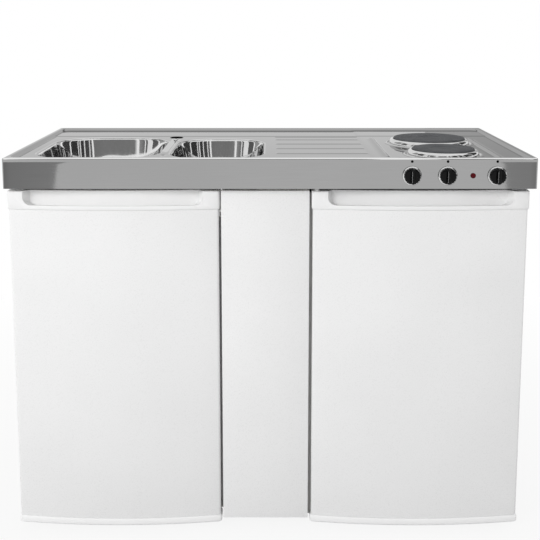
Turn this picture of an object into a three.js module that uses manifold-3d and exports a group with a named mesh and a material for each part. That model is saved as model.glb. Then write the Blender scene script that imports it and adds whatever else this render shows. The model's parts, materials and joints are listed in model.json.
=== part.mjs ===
// Kitchenette unit: a pressed steel worktop with two bowls and two hotplates, over a sink cupboard and a
// refrigerator. Millimetres. X runs right from the middle, Y back from the worktop's front, Z up from the
// floor.
import * as THREE from 'three';
import { mergeVertices } from 'three/addons/utils/BufferGeometryUtils.js';
import Module from 'manifold-3d';

const wasm = await Module();
wasm.setup();

// ---- Driving dimensions: the unit and its worktop
const unitWidth = 1200;
const unitDepth = 600;
const unitHeight = 900; // floor to the worktop's rim
const clearance = 0.3; // between pieces that touch
const boreFacets = 16;
const turnedFacets = 18;
const bodyFacets = 20;
const smallFacets = 12;
const past = 1; // how far a cutter, or a part to be joined, runs past the face it meets
const sheet = 2;
const apronHeight = 70;
const edgeRadius = 4;
const edgeShare = 0.3; // of the radius, where the rounded edge has its middle
const rimWidth = 12;
const recessDepth = 7;
const recessSlope = 5;
const recessCorner = 18;
const ribWidth = 14;
const ribHeight = 3;
const ribShoulder = 0.6; // of half the width, where a rib reaches
const ribShoulderRise = 0.75; // of its height
const ribEndShare = 0.3; // of its height at its ends
const ribFirst = 124;
const ribPitch = 85;
const ribCount = 4;
const rearRibDepth = 434;
const ribFromBowl = 28;
const damToHob = 36; // the ridge between drainer and hob to the rear plate's ring
const damLength = 384;
const damFront = 22;
const drainerToDam = 33;

// ---- Driving dimensions: bowls, wastes and trap
const bowlWall = 1.5;
const bowlFlange = 12;
const bowlDraft = 12; // how far the walls lean in
const bowlFloorInset = 48;
const bowlCurve = {
  // heights are shares of the bowl's drop
  low: { rise: 0.06, inset: 0.6 * bowlFloorInset },
  middle: { rise: 0.22, inset: bowlDraft + 5 },
  wall: { fall: 0.4 },
  top: { fall: 0.05, inset: 2 },
};
const largeBowlInset = 46; // the unit's left end to the bowl
const largeBowlWidth = 290;
const largeBowlLength = 383;
const largeBowlFront = 50;
const largeBowlCorner = 100;
const largeBowlDrop = 150;
const flangeGap = 4; // between the bowls' flanges
const smallBowlWidth = 220;
const smallBowlLength = 363;
const smallBowlFront = 45;
const smallBowlCorner = 90;
const smallBowlDrop = 130;
const tapHoleRadius = 17.5;
const tapHoleDepth = 427;
const wasteDepth = 290;
const wasteHoleRadius = 24;
const wasteFlangeWidth = 11;
const wasteFlangeRise = 2;
const wasteNutHeight = 14;
const wasteNutChamfer = 2;
const wasteSeatDrop = 6; // from the flange's foot to the plug's seat
const wasteTailStep = 4; // the hole's radius less the tail's
const plugHeight = 9;
const plugKnobRadius = 7;
const plugKnobHeight = 10;
const plugWaist = 3;
const plugRim = 3; // past the waste's hole
const plugRimHeight = 3;
const manifoldDrop = 68.7; // the deeper bowl's floor to the axis of the pipe between the wastes
const socketHeight = 8;
const socketWall = 3;
const trapCupFoot = { inset: 8, rise: 10 };
const trapCupShoulder = 6;
const trapPipeSides = 14;
const trapCupRadius = 34;
const trapCupHeight = 80;
const trapOutletDrop = 50; // manifold axis to the outlet pipe's axis
const trapCupDrop = 12; // below the manifold pipe
const trapOutletGap = 25; // the outlet's end to the worktop's rear

// ---- Driving dimensions: hob and its controls
const hobInset = 195; // the unit's right end to the middle of the plates
const rearPlateRadius = 90;
const frontPlateRadius = 72.5;
const frontPlateDepth = 101;
const ringSpacing = 17.5; // between the two spill rings
const plateFacets = 36;
const plateRise = 10; // above the rim
const plateSeat = 8;
const plateBody = 14; // below the sheet
const plateDimpleRadius = 29;
const plateDimpleDrop = 1.5;
const plateChamfer = 3;
const spillRingWidth = 11;
const spillRingTop = 3.5; // below the plate's top
const spillRingEdge = 1;
const spillRingShoulder = 3;
const clampWidth = 30;
const clampSheet = 2;
const clampOverhang = 14; // past the plate
const studRadius = 5;
const studLength = 8;
const controlDrop = 40; // the rim to the knobs' axis
const knobInsets = [282, 202, 91]; // the unit's right end to each knob
const knobRadius = 20;
const knobReach = 25;
const knobSkirt = 8;
const knobFlutes = 18;
const fluteDepth = 0.9;
const fluteLean = 0.3; // of a flute's half width
const knobChamfer = 2;
const knobGrip = {
  foot: { width: 13, inset: 3, corner: 5 },
  shoulder: { width: 9, inset: 6, corner: 4 },
  crown: { width: 6, inset: 10, corner: 2.5 },
};
const spindleGap = 4; // between the spindle's end and the bottom of its bore
const spindleRadius = 3;
const spindleLength = 14;
const bezelRadius = 21.5;
const bezelThickness = 2.5;
const bezelChamfer = 1.5;
const bezelFacets = 30;
const switchNeckRadius = 7;
const switchSide = 32;
const switchCorner = 3;
const switchToPlate = 3; // the switches' backs to the front plate's body
const lampInset = 145;
const lampRadius = 6;
const lampReach = 4;
const lampFlange = 1;
const lampBodyLength = 20;
const cradleSheet = 2;
const cradleInset = 2.2; // inside the refrigerator's right side
const cradleToHinge = 6;
const cradleLip = 38;
const cradleRearGap = 40; // to the worktop's rear
const terminalWidth = 90;
const terminalDepth = 38;
const terminalHeight = 38;
const terminalInset = 60;
const glandRadius = 9;
const glandLength = 16;

// ---- Driving dimensions: doors and filler
const endGapLeft = 5.5; // the worktop's end to the door's steel skin
const endGapRight = 12.8;
const cupboardDoorWidth = 477.5;
const fridgeDoorWidth = 490;
const fillerGapLeft = 5.7;
const fillerGapRight = 7.4;
const doorTopGap = 8; // below the apron
const doorFloorGap = 19;
const doorFront = 20; // the front face to the door's side edges
const doorThickness = 35; // at the side edges
const doorBulge = 18;
const doorCorner = 6;
const doorSkin = 2;
const topCapHeight = 42;
const bottomCapHeight = 17;
const bottomCapEdge = { low: 3, high: 4, lip: 0.4 };
const capChamfer = 2;
const doorCornerTurns = [30, 60, 90]; // degrees
const capOverlap = 2.4;
const capFloor = 4; // under the finger groove
const gripInset = 26;
const gripDepth = 20;
const gripLip = 5;
const gripWell = 6; // the finger groove's depth below the lip
const hingeInset = 13;
const pinBehindEdge = 18;
const pinRadius = 4;
const pinPlay = 0.4;
const pinLength = 13;
const hingePlate = 3;
const hingeWidth = 34;
const hingeLength = 60;
const boardThickness = 12;
const fillerThickness = 16;
const stopReach = 14; // behind the closed door's edge
const stopThickness = 12;
const battenBelowBowl = 6;
const fillerFloorGap = 28.5;

// ---- Driving dimensions: cupboard
const panel = 16;
const cupboardRearGap = 60; // to the worktop's rear
const cupboardFloorGap = 30;
const railHeight = 60;
const backRailHeight = 90;
const backRailDrop = 190;
const footRadius = 18;
const footChamfer = 2;
const earGap = 4; // above the hinge plates
const footPad = 8;
const stemRadius = 7;
const footInset = 60;

// ---- Driving dimensions: refrigerator
const fridgeSideGap = 1; // the door skin's edge to the cabinet's side
const fridgeRearGap = 70; // to the worktop's rear
const fridgeFloorGap = 24;
const fridgeTopGap = 4; // the cabinet's top below the door's top
const fridgeWall = 37;
const fridgeBack = 40;
const linerWall = 2;
const bayWall = 16; // beside the compressor's bay
const bayFloor = 2;
const bayGap = 9; // before and behind the compressor
const bayHeadroom = 51;
const skidWidth = 30;
const skidLength = 60;
const skidInset = 10; // from the refrigerator's rear
const humpWall = 35;
const ledge = 7;
const glass = 4;
const shelfBehindRack = 10.7;
const lowerShelfRise = 17; // above the step over the compressor
const shelfSpacing = 158;
const iceBoxHeight = 115;
const iceBoxWall = 3;
const iceBoxBehindShelf = 14; // its front edge behind the shelves' front edge
const cheekReach = 5; // before the flap's pins
const flapThickness = 5;
const flapPinRadius = 2;
const flapTopGap = 1.5;
const flapPull = 4;
const flapPullWidth = 60;
const flapPullThickness = 6;
const flapSideGap = 0.6;
const flapRun = 1; // between the flap and the ice box behind it
const thermostatSize = 48;
const thermostatDrop = 20; // below the ice box
const thermostatSetback = 10; // behind the ice box's front
const thermostatDepth = 100;
const thermostatKnobRadius = 16;
const thermostatKnobHeight = 13;
const thermostatRail = { width: 5, inset: 3, rise: 3 };
const compressorRadius = 56;
const compressorHeight = 145;
const compressorLift = 10;
// shares of the pot's radius, and heights over the bay's floor
const compressorCurve = [
  [0.7, compressorLift],
  [0.96, 28],
  [1, 60],
  [0.97, 0.72 * compressorHeight],
  [0.72, 0.94 * compressorHeight],
];
const compressorPlate = {
  width: 2 * compressorRadius + 50,
  depth: 2 * compressorRadius - 14,
  corner: 12,
  thickness: 4,
};
const compressorMount = {
  radius: 9,
  height: 9,
  halfWidth: compressorRadius + 12,
  halfDepth: compressorRadius - 20,
};
const condenserRadius = 2.5;
const condenserStrap = { inset: 30, width: 16, thickness: 2, overhang: 10, stand: 12 };
const condenserRows = 9;
const condenserBelowTop = 40;
const condenserAboveBay = 94;
const condenserInset = 50;
const condenserStandoff = 18;
const gasketThickness = 11;
const gasketInset = 18;
const gasketRise = 8; // over the skin's foot
const gasketWidth = 12;
const plateauDepth = 20;
const plateauInset = 14;
const rackDepth = 90;
const rackInset = 26;
const rackWall = 2.5;
const upperRackHeight = 60;
const lowerRackHeight = 85;
const upperRackFloor = 455;
const lowerRackFloor = 100;

// ---- Finishes
const finish = (color, roughness, metalness) =>
  new THREE.MeshStandardMaterial({ color, roughness, metalness });
const brushedSteel = finish(0xb9babb, 0.35, 1);
const polishedSteel = finish(0xd0d1d3, 0.15, 1);
const chrome = finish(0xdcdde0, 0.08, 1);
const castIron = finish(0x56575a, 0.75, 0.3);
const galvanised = finish(0x9a9d9f, 0.5, 0.9);
const whiteSteel = finish(0xececec, 0.4, 0);
const whitePlastic = finish(0xeeeeee, 0.5, 0);
const whiteBoard = finish(0xe4e4e2, 0.6, 0);
const blackPlastic = finish(0x131313, 0.25, 0);
const greyRubber = finish(0xb8b8b6, 0.8, 0);
const blackPaint = finish(0x202122, 0.5, 0.2);
const redLens = finish(0x7a1018, 0.2, 0);
const shelfGlass = finish(0xcfe2de, 0.1, 0);

// ---- Solids
const solidOf = (geometry) => {
  geometry.deleteAttribute('normal');
  geometry.deleteAttribute('uv');
  const merged = mergeVertices(geometry, 1e-4);
  const vertProperties = merged.attributes.position.array;
  const triVerts = new Uint32Array(merged.index.array);
  return new wasm.Manifold(new wasm.Mesh({ numProp: 3, vertProperties, triVerts }));
};

const geometryOf = (solid) => {
  const { vertProperties, triVerts } = solid.getMesh();
  const geometry = new THREE.BufferGeometry();
  geometry.setAttribute('position', new THREE.BufferAttribute(vertProperties, 3));
  geometry.setIndex(new THREE.BufferAttribute(triVerts, 1));
  geometry.computeVertexNormals();
  return geometry;
};

const join = (...solids) => solids.reduce((whole, next) => whole.add(next));
const cut = (solid, ...tools) => tools.reduce((whole, tool) => whole.subtract(tool), solid);

// A box from two corners.
const box = (x0, x1, y0, y1, z0, z1) =>
  solidOf(
    new THREE.BoxGeometry(x1 - x0, y1 - y0, z1 - z0).translate((x0 + x1) / 2, (y0 + y1) / 2, (z0 + z1) / 2),
  );

// A body through outlines of equal length, given as [height, outline] pairs from the bottom up.
const loftGeometry = (levels) => {
  const count = levels[0][1].length;
  const last = (levels.length - 1) * count;
  const positions = levels.flatMap(([height, outline]) =>
    outline.flatMap((point) => [point.x, point.y, height]),
  );
  const faces = [];
  for (let row = 0; row < last; row += count) {
    for (let i = 0; i < count; i++) {
      const a = row + i;
      const b = row + ((i + 1) % count);
      faces.push(a, b, b + count, a, b + count, a + count);
    }
  }
  for (const [a, b, c] of THREE.ShapeUtils.triangulateShape(levels[0][1], [])) {
    faces.push(c, b, a);
  }
  for (const [a, b, c] of THREE.ShapeUtils.triangulateShape(levels.at(-1)[1], [])) {
    faces.push(last + a, last + b, last + c);
  }
  const geometry = new THREE.BufferGeometry();
  geometry.setAttribute('position', new THREE.Float32BufferAttribute(positions, 3));
  geometry.setIndex(faces);
  return geometry;
};

const loft = (levels) => solidOf(loftGeometry(levels));
const prism = (outline, z0, z1) => loft([[z0, outline], [z1, outline]]);

// A body of revolution about Z through (radius, height) points, from the bottom up.
const turnedGeometry = (profile, segments) =>
  new THREE.LatheGeometry(profile.map(([r, z]) => new THREE.Vector2(r, z)), segments).rotateX(Math.PI / 2);
const turned = (profile, segments) => solidOf(turnedGeometry(profile, segments));
const cylinder = (radius, z0, z1, segments = 24) =>
  turned([[0, z0], [radius, z0], [radius, z1], [0, z1]], segments);
const at = (solid, x, y, z = 0) => solid.translate([x, y, z]);

// A rounded rectangle about a centre, anticlockwise from above.
const roundedRect = (cx, cy, width, length, radius, steps = 6) => {
  const points = [];
  const corners = [[1, -1], [1, 1], [-1, 1], [-1, -1]];
  corners.forEach(([sx, sy], corner) => {
    const x = cx + sx * (width / 2 - radius);
    const y = cy + sy * (length / 2 - radius);
    for (let i = 0; i <= steps; i++) {
      const angle = (Math.PI / 2) * (corner - 1 + i / steps);
      points.push(new THREE.Vector2(x + radius * Math.cos(angle), y + radius * Math.sin(angle)));
    }
  });
  return points;
};

// A round tube through points that lie in one plane; normal is the plane's normal.
const pipe = (points, radius, normal, sides = 12) => {
  const positions = [];
  const faces = [];
  points.forEach((point, i) => {
    const before = points[Math.max(i - 1, 0)];
    const after = points[Math.min(i + 1, points.length - 1)];
    const along = after.clone().sub(before).normalize();
    const across = along.clone().cross(normal);
    for (let k = 0; k < sides; k++) {
      const angle = (2 * Math.PI * k) / sides;
      const spot = point.clone();
      spot.addScaledVector(across, radius * Math.cos(angle));
      spot.addScaledVector(normal, -radius * Math.sin(angle));
      positions.push(...spot);
    }
  });
  for (let row = 0; row + sides < points.length * sides; row += sides) {
    for (let k = 0; k < sides; k++) {
      const a = row + k;
      const b = row + ((k + 1) % sides);
      faces.push(a, b, b + sides, a, b + sides, a + sides);
    }
  }
  const last = (points.length - 1) * sides;
  for (let k = 1; k + 1 < sides; k++) {
    faces.push(0, k + 1, k, last, last + k, last + k + 1);
  }
  const geometry = new THREE.BufferGeometry();
  geometry.setAttribute('position', new THREE.Float32BufferAttribute(positions, 3));
  geometry.setIndex(faces);
  return solidOf(geometry);
};

// Turns a body made about Z so that it points out of the worktop's front.
const facingFront = (solid) => solid.rotate([90, 0, 0]);

const unit = new THREE.Group();
const add = (name, solid, material, parent = unit) => {
  const mesh = new THREE.Mesh(geometryOf(solid), material);
  mesh.name = name;
  parent.add(mesh);
  return mesh;
};

// ---- Places worked out from the driving dimensions
const left = -unitWidth / 2;
const right = unitWidth / 2;
const rimZ = unitHeight;
const recessZ = rimZ - recessDepth;
const underZ = recessZ - sheet; // underside of the worktop sheet
const seatZ = underZ - clearance; // top of what carries the worktop
const apronZ = rimZ - apronHeight;
const doorTop = apronZ - doorTopGap;
const doorBottom = doorFloorGap;
const doorBack = doorFront + doorThickness;
const bowlSpacing = 2 * bowlFlange + flangeGap;
const largeBowlX = left + largeBowlInset + largeBowlWidth / 2;
const smallBowlX = left + largeBowlInset + largeBowlWidth + bowlSpacing + smallBowlWidth / 2;
const tapHoleX = left + largeBowlInset + largeBowlWidth + bowlSpacing / 2;
const hobX = right - hobInset;
const rearPlateDepth =
  frontPlateDepth + frontPlateRadius + rearPlateRadius + 2 * spillRingWidth + ringSpacing;
const damX = hobX - rearPlateRadius - spillRingWidth - damToHob;
const controlZ = rimZ - controlDrop;
const cupboardDoorX = left + endGapLeft + cupboardDoorWidth / 2;
const fridgeDoorX = right - endGapRight - fridgeDoorWidth / 2;
const fillerLeft = left + endGapLeft + cupboardDoorWidth + fillerGapLeft;
const fillerRight = right - endGapRight - fridgeDoorWidth - fillerGapRight;
const cupboardLeft = left + endGapLeft;
const dividerX = fillerRight - panel;
const cabinetLeft = right - endGapRight - fridgeDoorWidth + fridgeSideGap;
const cabinetRight = right - endGapRight - fridgeSideGap;
const cabinetTop = doorTop - fridgeTopGap;
const bodyFront = doorBack + gasketThickness; // front edge of the cupboard and of the refrigerator
const cupboardRear = unitDepth - cupboardRearGap;
const fridgeRear = unitDepth - fridgeRearGap;

// ---- Worktop
const worktopOutline = (inset) =>
  roundedRect(0, unitDepth / 2, unitWidth - 2 * inset, unitDepth - 2 * inset, edgeRadius, 2);

const recessOutline = (inset) =>
  roundedRect(0, unitDepth / 2, unitWidth - 2 * inset, unitDepth - 2 * inset, recessCorner, 4);

// A low rib along X from x0 to x1, with tapered ends.
const rib = (x0, x1, y, z) => {
  const outline = (scale) => {
    const half = (ribWidth / 2) * scale;
    const height = ribHeight * scale;
    const points = [[-half, -past], [half, -past], [half, 0]];
    points.push([half * ribShoulder, height * ribShoulderRise], [0, height]);
    points.push([-half * ribShoulder, height * ribShoulderRise], [-half, 0]);
    return points.map(([u, v]) => new THREE.Vector2(u, v));
  };
  const length = x1 - x0;
  const levels = [
    [0, outline(ribEndShare)],
    [ribWidth, outline(1)],
    [length - ribWidth, outline(1)],
    [length, outline(ribEndShare)],
  ];
  return solidOf(loftGeometry(levels).rotateX(Math.PI / 2).rotateZ(Math.PI / 2).translate(x0, y, z));
};

// A bowl's outline as a function of its inset; its corners tighten as it shrinks, and never pass a half
// circle.
const bowlOutline = (x, front, width, length, corner) => (inset) => {
  const radius = Math.min(corner - 0.7 * inset, width / 2 - inset - past);
  return roundedRect(x, front + length / 2, width - 2 * inset, length - 2 * inset, radius, 5);
};
const largeBowlOutline = bowlOutline(
  largeBowlX,
  largeBowlFront,
  largeBowlWidth,
  largeBowlLength,
  largeBowlCorner,
);
const smallBowlOutline = bowlOutline(
  smallBowlX,
  smallBowlFront,
  smallBowlWidth,
  smallBowlLength,
  smallBowlCorner,
);

const switchHoleRadius = switchNeckRadius + clearance;
const lampBodyRadius = lampRadius - lampFlange;
const lampHoleRadius = lampBodyRadius + clearance;

const makeWorktop = () => {
  const shell = loft([
    [apronZ, worktopOutline(0)],
    [rimZ - edgeRadius, worktopOutline(0)],
    [rimZ - edgeShare * edgeRadius, worktopOutline(edgeShare * edgeRadius)],
    [rimZ, worktopOutline(edgeRadius)],
  ]);
  const hollow = box(left + sheet, right - sheet, sheet, unitDepth - sheet, apronZ - past, underZ);
  const recess = loft([
    [recessZ, recessOutline(rimWidth + recessSlope)],
    [rimZ, recessOutline(rimWidth)],
    [rimZ + past, recessOutline(rimWidth)],
  ]);
  const ribs = Array.from({ length: ribCount }, (_, i) => ribFirst + i * ribPitch);
  ribs.push(rearRibDepth);
  const ribStart = smallBowlX + smallBowlWidth / 2 + ribFromBowl;
  const ribEnd = damX - drainerToDam;
  const drainer = ribs.map((depth) => rib(ribStart, ribEnd, depth, recessZ));
  const dam = rib(damFront, damFront + damLength, 0, recessZ).rotate([0, 0, 90]);
  const holes = [
    prism(largeBowlOutline(0), underZ - past, rimZ),
    prism(smallBowlOutline(0), underZ - past, rimZ),
    at(cylinder(tapHoleRadius, underZ - past, rimZ, 32), tapHoleX, tapHoleDepth),
    at(cylinder(rearPlateRadius - plateSeat, underZ - past, rimZ, plateFacets), hobX, rearPlateDepth),
    at(cylinder(frontPlateRadius - plateSeat, underZ - past, rimZ, plateFacets), hobX, frontPlateDepth),
    at(facingFront(cylinder(lampHoleRadius, -sheet - past, past)), right - lampInset, 0, controlZ),
  ];
  for (const inset of knobInsets) {
    holes.push(at(facingFront(cylinder(switchHoleRadius, -sheet - past, past)), right - inset, 0, controlZ));
  }
  const pressed = join(cut(shell, hollow, recess), ...drainer, at(dam, damX, 0));
  return cut(pressed, ...holes);
};
add('worktop', makeWorktop(), brushedSteel);

// ---- Sink bowls, wastes and trap
const makeBowl = (outline, drop) => {
  const floorZ = seatZ - drop;
  const levels = (grow) => [
    [floorZ - (grow > 0 ? bowlWall : 0), outline(bowlFloorInset - grow)],
    [floorZ + bowlCurve.low.rise * drop, outline(bowlCurve.low.inset - grow)],
    [floorZ + bowlCurve.middle.rise * drop, outline(bowlCurve.middle.inset - grow)],
    [seatZ - bowlCurve.wall.fall * drop, outline(bowlDraft - grow)],
    [seatZ - bowlCurve.top.fall * drop, outline(bowlCurve.top.inset - grow)],
    [seatZ, outline(-grow)],
  ];
  const inside = levels(0);
  inside.push([seatZ + past, outline(0)]);
  const flange = prism(outline(-bowlFlange), seatZ - bowlWall, seatZ);
  return cut(join(loft(levels(bowlWall)), flange), loft(inside));
};

const wasteHole = (x, drop) => {
  const floorZ = seatZ - drop;
  const hole = cylinder(wasteHoleRadius, floorZ - wasteNutHeight, floorZ + wasteNutHeight);
  return at(hole, x, wasteDepth);
};

add(
  'sink_bowl_large',
  cut(makeBowl(largeBowlOutline, largeBowlDrop), wasteHole(largeBowlX, largeBowlDrop)),
  polishedSteel,
);
add(
  'sink_bowl_small',
  cut(makeBowl(smallBowlOutline, smallBowlDrop), wasteHole(smallBowlX, smallBowlDrop)),
  polishedSteel,
);

const wasteTailRadius = wasteHoleRadius - wasteTailStep;
const wasteFlangeRadius = wasteHoleRadius + wasteFlangeWidth;
const wasteNutRadius = wasteFlangeRadius - 3;
const wasteBodyRadius = wasteHoleRadius - 1;
const manifoldZ = seatZ - Math.max(largeBowlDrop, smallBowlDrop) - manifoldDrop;
const manifoldTop = manifoldZ + wasteTailRadius + socketHeight; // top of the sockets for the waste tails

// The waste's flange lies on the bowl's floor; its tail runs down to the manifold.
const makeWaste = (drop) => {
  const floorZ = seatZ - drop + clearance;
  const nutZ = seatZ - drop - bowlWall - clearance;
  return turned(
    [
      [0, manifoldTop + clearance],
      [wasteTailRadius, manifoldTop + clearance],
      [wasteTailRadius, nutZ - wasteNutHeight],
      [wasteNutRadius, nutZ - wasteNutHeight + wasteNutChamfer],
      [wasteNutRadius, nutZ],
      [wasteBodyRadius, nutZ],
      [wasteBodyRadius, floorZ],
      [wasteFlangeRadius, floorZ],
      [wasteFlangeRadius - 1, floorZ + 0.75 * wasteFlangeRise],
      [wasteHoleRadius, floorZ + wasteFlangeRise],
      [wasteTailRadius - 1, floorZ - wasteSeatDrop],
      [0, floorZ - wasteSeatDrop - 1],
    ],
    turnedFacets,
  );
};
add('waste_large', at(makeWaste(largeBowlDrop), largeBowlX, wasteDepth), chrome);
add('waste_small', at(makeWaste(smallBowlDrop), smallBowlX, wasteDepth), chrome);

const plugProfile = [
  [0, 0],
  [wasteHoleRadius - 6, 0],
  [wasteHoleRadius - 2, plugHeight - plugRimHeight],
  [wasteHoleRadius + plugRim, plugHeight - plugRimHeight + 1],
  [wasteHoleRadius + plugRim, plugHeight],
  [plugKnobRadius, plugHeight + 1],
  [plugKnobRadius - plugWaist, plugHeight + 0.5 * plugKnobHeight],
  [plugKnobRadius, plugHeight + plugKnobHeight - 1],
  [0, plugHeight + plugKnobHeight + 1],
];
const addPlug = (name, x, drop) => {
  const plug = add(name, turned(plugProfile, turnedFacets), blackPlastic);
  const foot = plugRimHeight - plugHeight; // the rim rests on the waste's flange
  plug.position.set(x, wasteDepth, seatZ - drop + wasteFlangeRise + 2 * clearance + foot);
};
addPlug('plug_large', largeBowlX, largeBowlDrop);
addPlug('plug_small', smallBowlX, smallBowlDrop);

const makeTrap = () => {
  const trapX = (largeBowlX + smallBowlX) / 2;
  const cupTop = manifoldZ - wasteTailRadius - trapCupDrop;
  const run = [new THREE.Vector3(largeBowlX, wasteDepth, manifoldZ)];
  run.push(new THREE.Vector3(smallBowlX, wasteDepth, manifoldZ));
  const socket = cylinder(wasteTailRadius + socketWall, manifoldZ, manifoldTop);
  const outletZ = manifoldZ - trapOutletDrop;
  const outlet = [new THREE.Vector3(trapX, wasteDepth, outletZ)];
  outlet.push(new THREE.Vector3(trapX, unitDepth - trapOutletGap, outletZ));
  const cup = turned(
    [
      [0, cupTop - trapCupHeight],
      [trapCupRadius - trapCupFoot.inset, cupTop - trapCupHeight],
      [trapCupRadius, cupTop - trapCupHeight + trapCupFoot.rise],
      [trapCupRadius, cupTop - trapCupShoulder],
      [wasteTailRadius, cupTop],
      [wasteTailRadius, manifoldZ],
      [0, manifoldZ],
    ],
    20,
  );
  return join(
    pipe(run, wasteTailRadius, new THREE.Vector3(0, 1, 0), trapPipeSides),
    at(socket, largeBowlX, wasteDepth),
    at(socket, smallBowlX, wasteDepth),
    at(cup, trapX, wasteDepth),
    pipe(outlet, wasteTailRadius - 2, new THREE.Vector3(1, 0, 0), trapPipeSides),
  );
};
add('bottle_trap', makeTrap(), whitePlastic);

// ---- Hob
const plateTop = rimZ + plateRise;

const makeHotplate = (radius) => {
  const seat = recessZ + clearance;
  const bottom = underZ - plateBody;
  const plate = turned(
    [
      [0, bottom],
      [radius - plateSeat - plateChamfer, bottom],
      [radius - plateSeat - 1, bottom + plateChamfer],
      [radius - plateSeat - 1, seat],
      [radius, seat],
      [radius, plateTop - plateChamfer],
      [radius - edgeShare * plateChamfer, plateTop - edgeShare * plateChamfer],
      [radius - plateChamfer, plateTop],
      [plateDimpleRadius + plateChamfer, plateTop],
      [plateDimpleRadius, plateTop - plateDimpleDrop],
      [0, plateTop - plateDimpleDrop],
    ],
    plateFacets,
  );
  const reach = radius + clampOverhang;
  const clampZ = bottom - clampSheet;
  const bar = box(-reach, reach, -clampWidth / 2, clampWidth / 2, clampZ, bottom);
  const end = box(reach - clampSheet, reach, -clampWidth / 2, clampWidth / 2, clampZ, seatZ);
  const stud = cylinder(studRadius, clampZ - studLength, bottom, smallFacets);
  return join(plate, bar, end, end.mirror([1, 0, 0]), stud);
};

const makeSpillRing = (radius) =>
  turned(
    [
      [radius + clearance, recessZ + clearance],
      [radius + spillRingWidth, recessZ + clearance],
      [radius + spillRingWidth, recessZ + clearance + spillRingEdge],
      [radius + spillRingShoulder, plateTop - spillRingTop - spillRingEdge],
      [radius + 0.4 * spillRingShoulder, plateTop - spillRingTop],
      [radius + clearance, plateTop - spillRingTop - 0.8 * spillRingEdge],
      [radius + clearance, recessZ + clearance],
    ],
    plateFacets,
  );

add('hotplate_rear', at(makeHotplate(rearPlateRadius), hobX, rearPlateDepth), castIron);
add('hotplate_front', at(makeHotplate(frontPlateRadius), hobX, frontPlateDepth), castIron);
add('spill_ring_rear', at(makeSpillRing(rearPlateRadius), hobX, rearPlateDepth), chrome);
add('spill_ring_front', at(makeSpillRing(frontPlateRadius), hobX, frontPlateDepth), chrome);

// The cradle stands on the refrigerator, carries the worktop's hob end and shields what is below.
const makeCradle = () => {
  const x0 = damX;
  const x1 = cabinetRight - cradleInset;
  const z0 = cabinetTop + clearance;
  const cradleFront = bodyFront + hingeLength + cradleToHinge;
  const cradleRear = unitDepth - cradleRearGap;
  const outer = box(x0, x1, cradleFront, cradleRear, z0, seatZ);
  const inner = box(
    x0 + cradleSheet,
    x1 - cradleSheet,
    cradleFront - past,
    cradleRear + past,
    z0 + cradleSheet,
    seatZ + past,
  );
  const lip = box(x0, x1, cradleFront, cradleFront + cradleSheet, z0, z0 + cradleLip);
  return join(cut(outer, inner), lip);
};
add('hob_cradle', makeCradle(), galvanised);

const makeTerminalBox = () => {
  const x0 = right - terminalInset - terminalWidth;
  const y1 = unitDepth - sheet - clearance;
  const z1 = seatZ;
  const z0 = z1 - terminalHeight;
  const body = box(x0, x0 + terminalWidth, y1 - terminalDepth, y1, z0, z1);
  const gland = cylinder(glandRadius, z0 - glandLength, z0 + past, smallFacets);
  return join(body, at(gland, x0 + terminalWidth / 2, y1 - terminalDepth / 2));
};
add('terminal_box', makeTerminalBox(), blackPlastic);

// ---- Controls: a switch behind the apron, held by its bezel in front, and a knob on its spindle
const makeSwitch = () => {
  const back = -(sheet + clearance);
  const outline = roundedRect(0, 0, switchSide, switchSide, switchCorner, 2);
  const plateBodyFront = frontPlateDepth - frontPlateRadius + plateSeat;
  const body = prism(outline, switchToPlate - plateBodyFront, back);
  const neck = cylinder(switchNeckRadius, back - past, clearance + past);
  const bezel = turned(
    [
      [0, clearance],
      [bezelRadius, clearance],
      [bezelRadius, clearance + bezelThickness - bezelChamfer],
      [bezelRadius - bezelChamfer, clearance + bezelThickness],
      [0, clearance + bezelThickness],
    ],
    bezelFacets,
  );
  const boreFoot = clearance + bezelThickness - spindleLength;
  const bore = cylinder(spindleRadius + clearance, boreFoot, knobReach, boreFacets);
  return cut(join(body, neck, bezel), bore);
};

const makeKnob = () => {
  const foot = 2 * clearance + bezelThickness;
  const skirt = (grow) =>
    Array.from({ length: knobFlutes * 2 }, (_, i) => {
      const angle = (Math.PI * (i - (i % 2) * fluteLean)) / knobFlutes;
      const radius = knobRadius + grow - (i % 2 === 0 ? fluteDepth : 0);
      return new THREE.Vector2(radius * Math.cos(angle), radius * Math.sin(angle));
    });
  const base = loft([
    [foot, skirt(0)],
    [foot + knobSkirt - knobChamfer, skirt(0)],
    [foot + knobSkirt, skirt(-knobChamfer)],
    [foot + knobSkirt + knobChamfer, skirt(-3 * knobChamfer)],
  ]);
  const gripAt = ({ width, inset, corner }) =>
    roundedRect(0, 0, width, 2 * knobRadius - inset, corner, 3);
  const grip = loft([
    [foot + knobChamfer, gripAt(knobGrip.foot)],
    [knobReach - knobChamfer, gripAt(knobGrip.shoulder)],
    [knobReach, gripAt(knobGrip.crown)],
  ]);
  const spindleFoot = foot - spindleLength + spindleGap;
  const spindle = cylinder(spindleRadius, spindleFoot, foot + past, boreFacets);
  return join(base, grip, spindle);
};

const controls = [
  ['switch_front_plate', 'knob_front_plate'],
  ['switch_rear_plate', 'knob_rear_plate'],
  ['run_timer', 'knob_timer'],
];
controls.forEach(([switchName, knobName], i) => {
  const place = new THREE.Group();
  place.position.set(right - knobInsets[i], 0, controlZ);
  place.rotation.x = Math.PI / 2;
  unit.add(place);
  add(switchName, makeSwitch(), galvanised, place);
  add(knobName, makeKnob(), blackPlastic, place);
});

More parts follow.
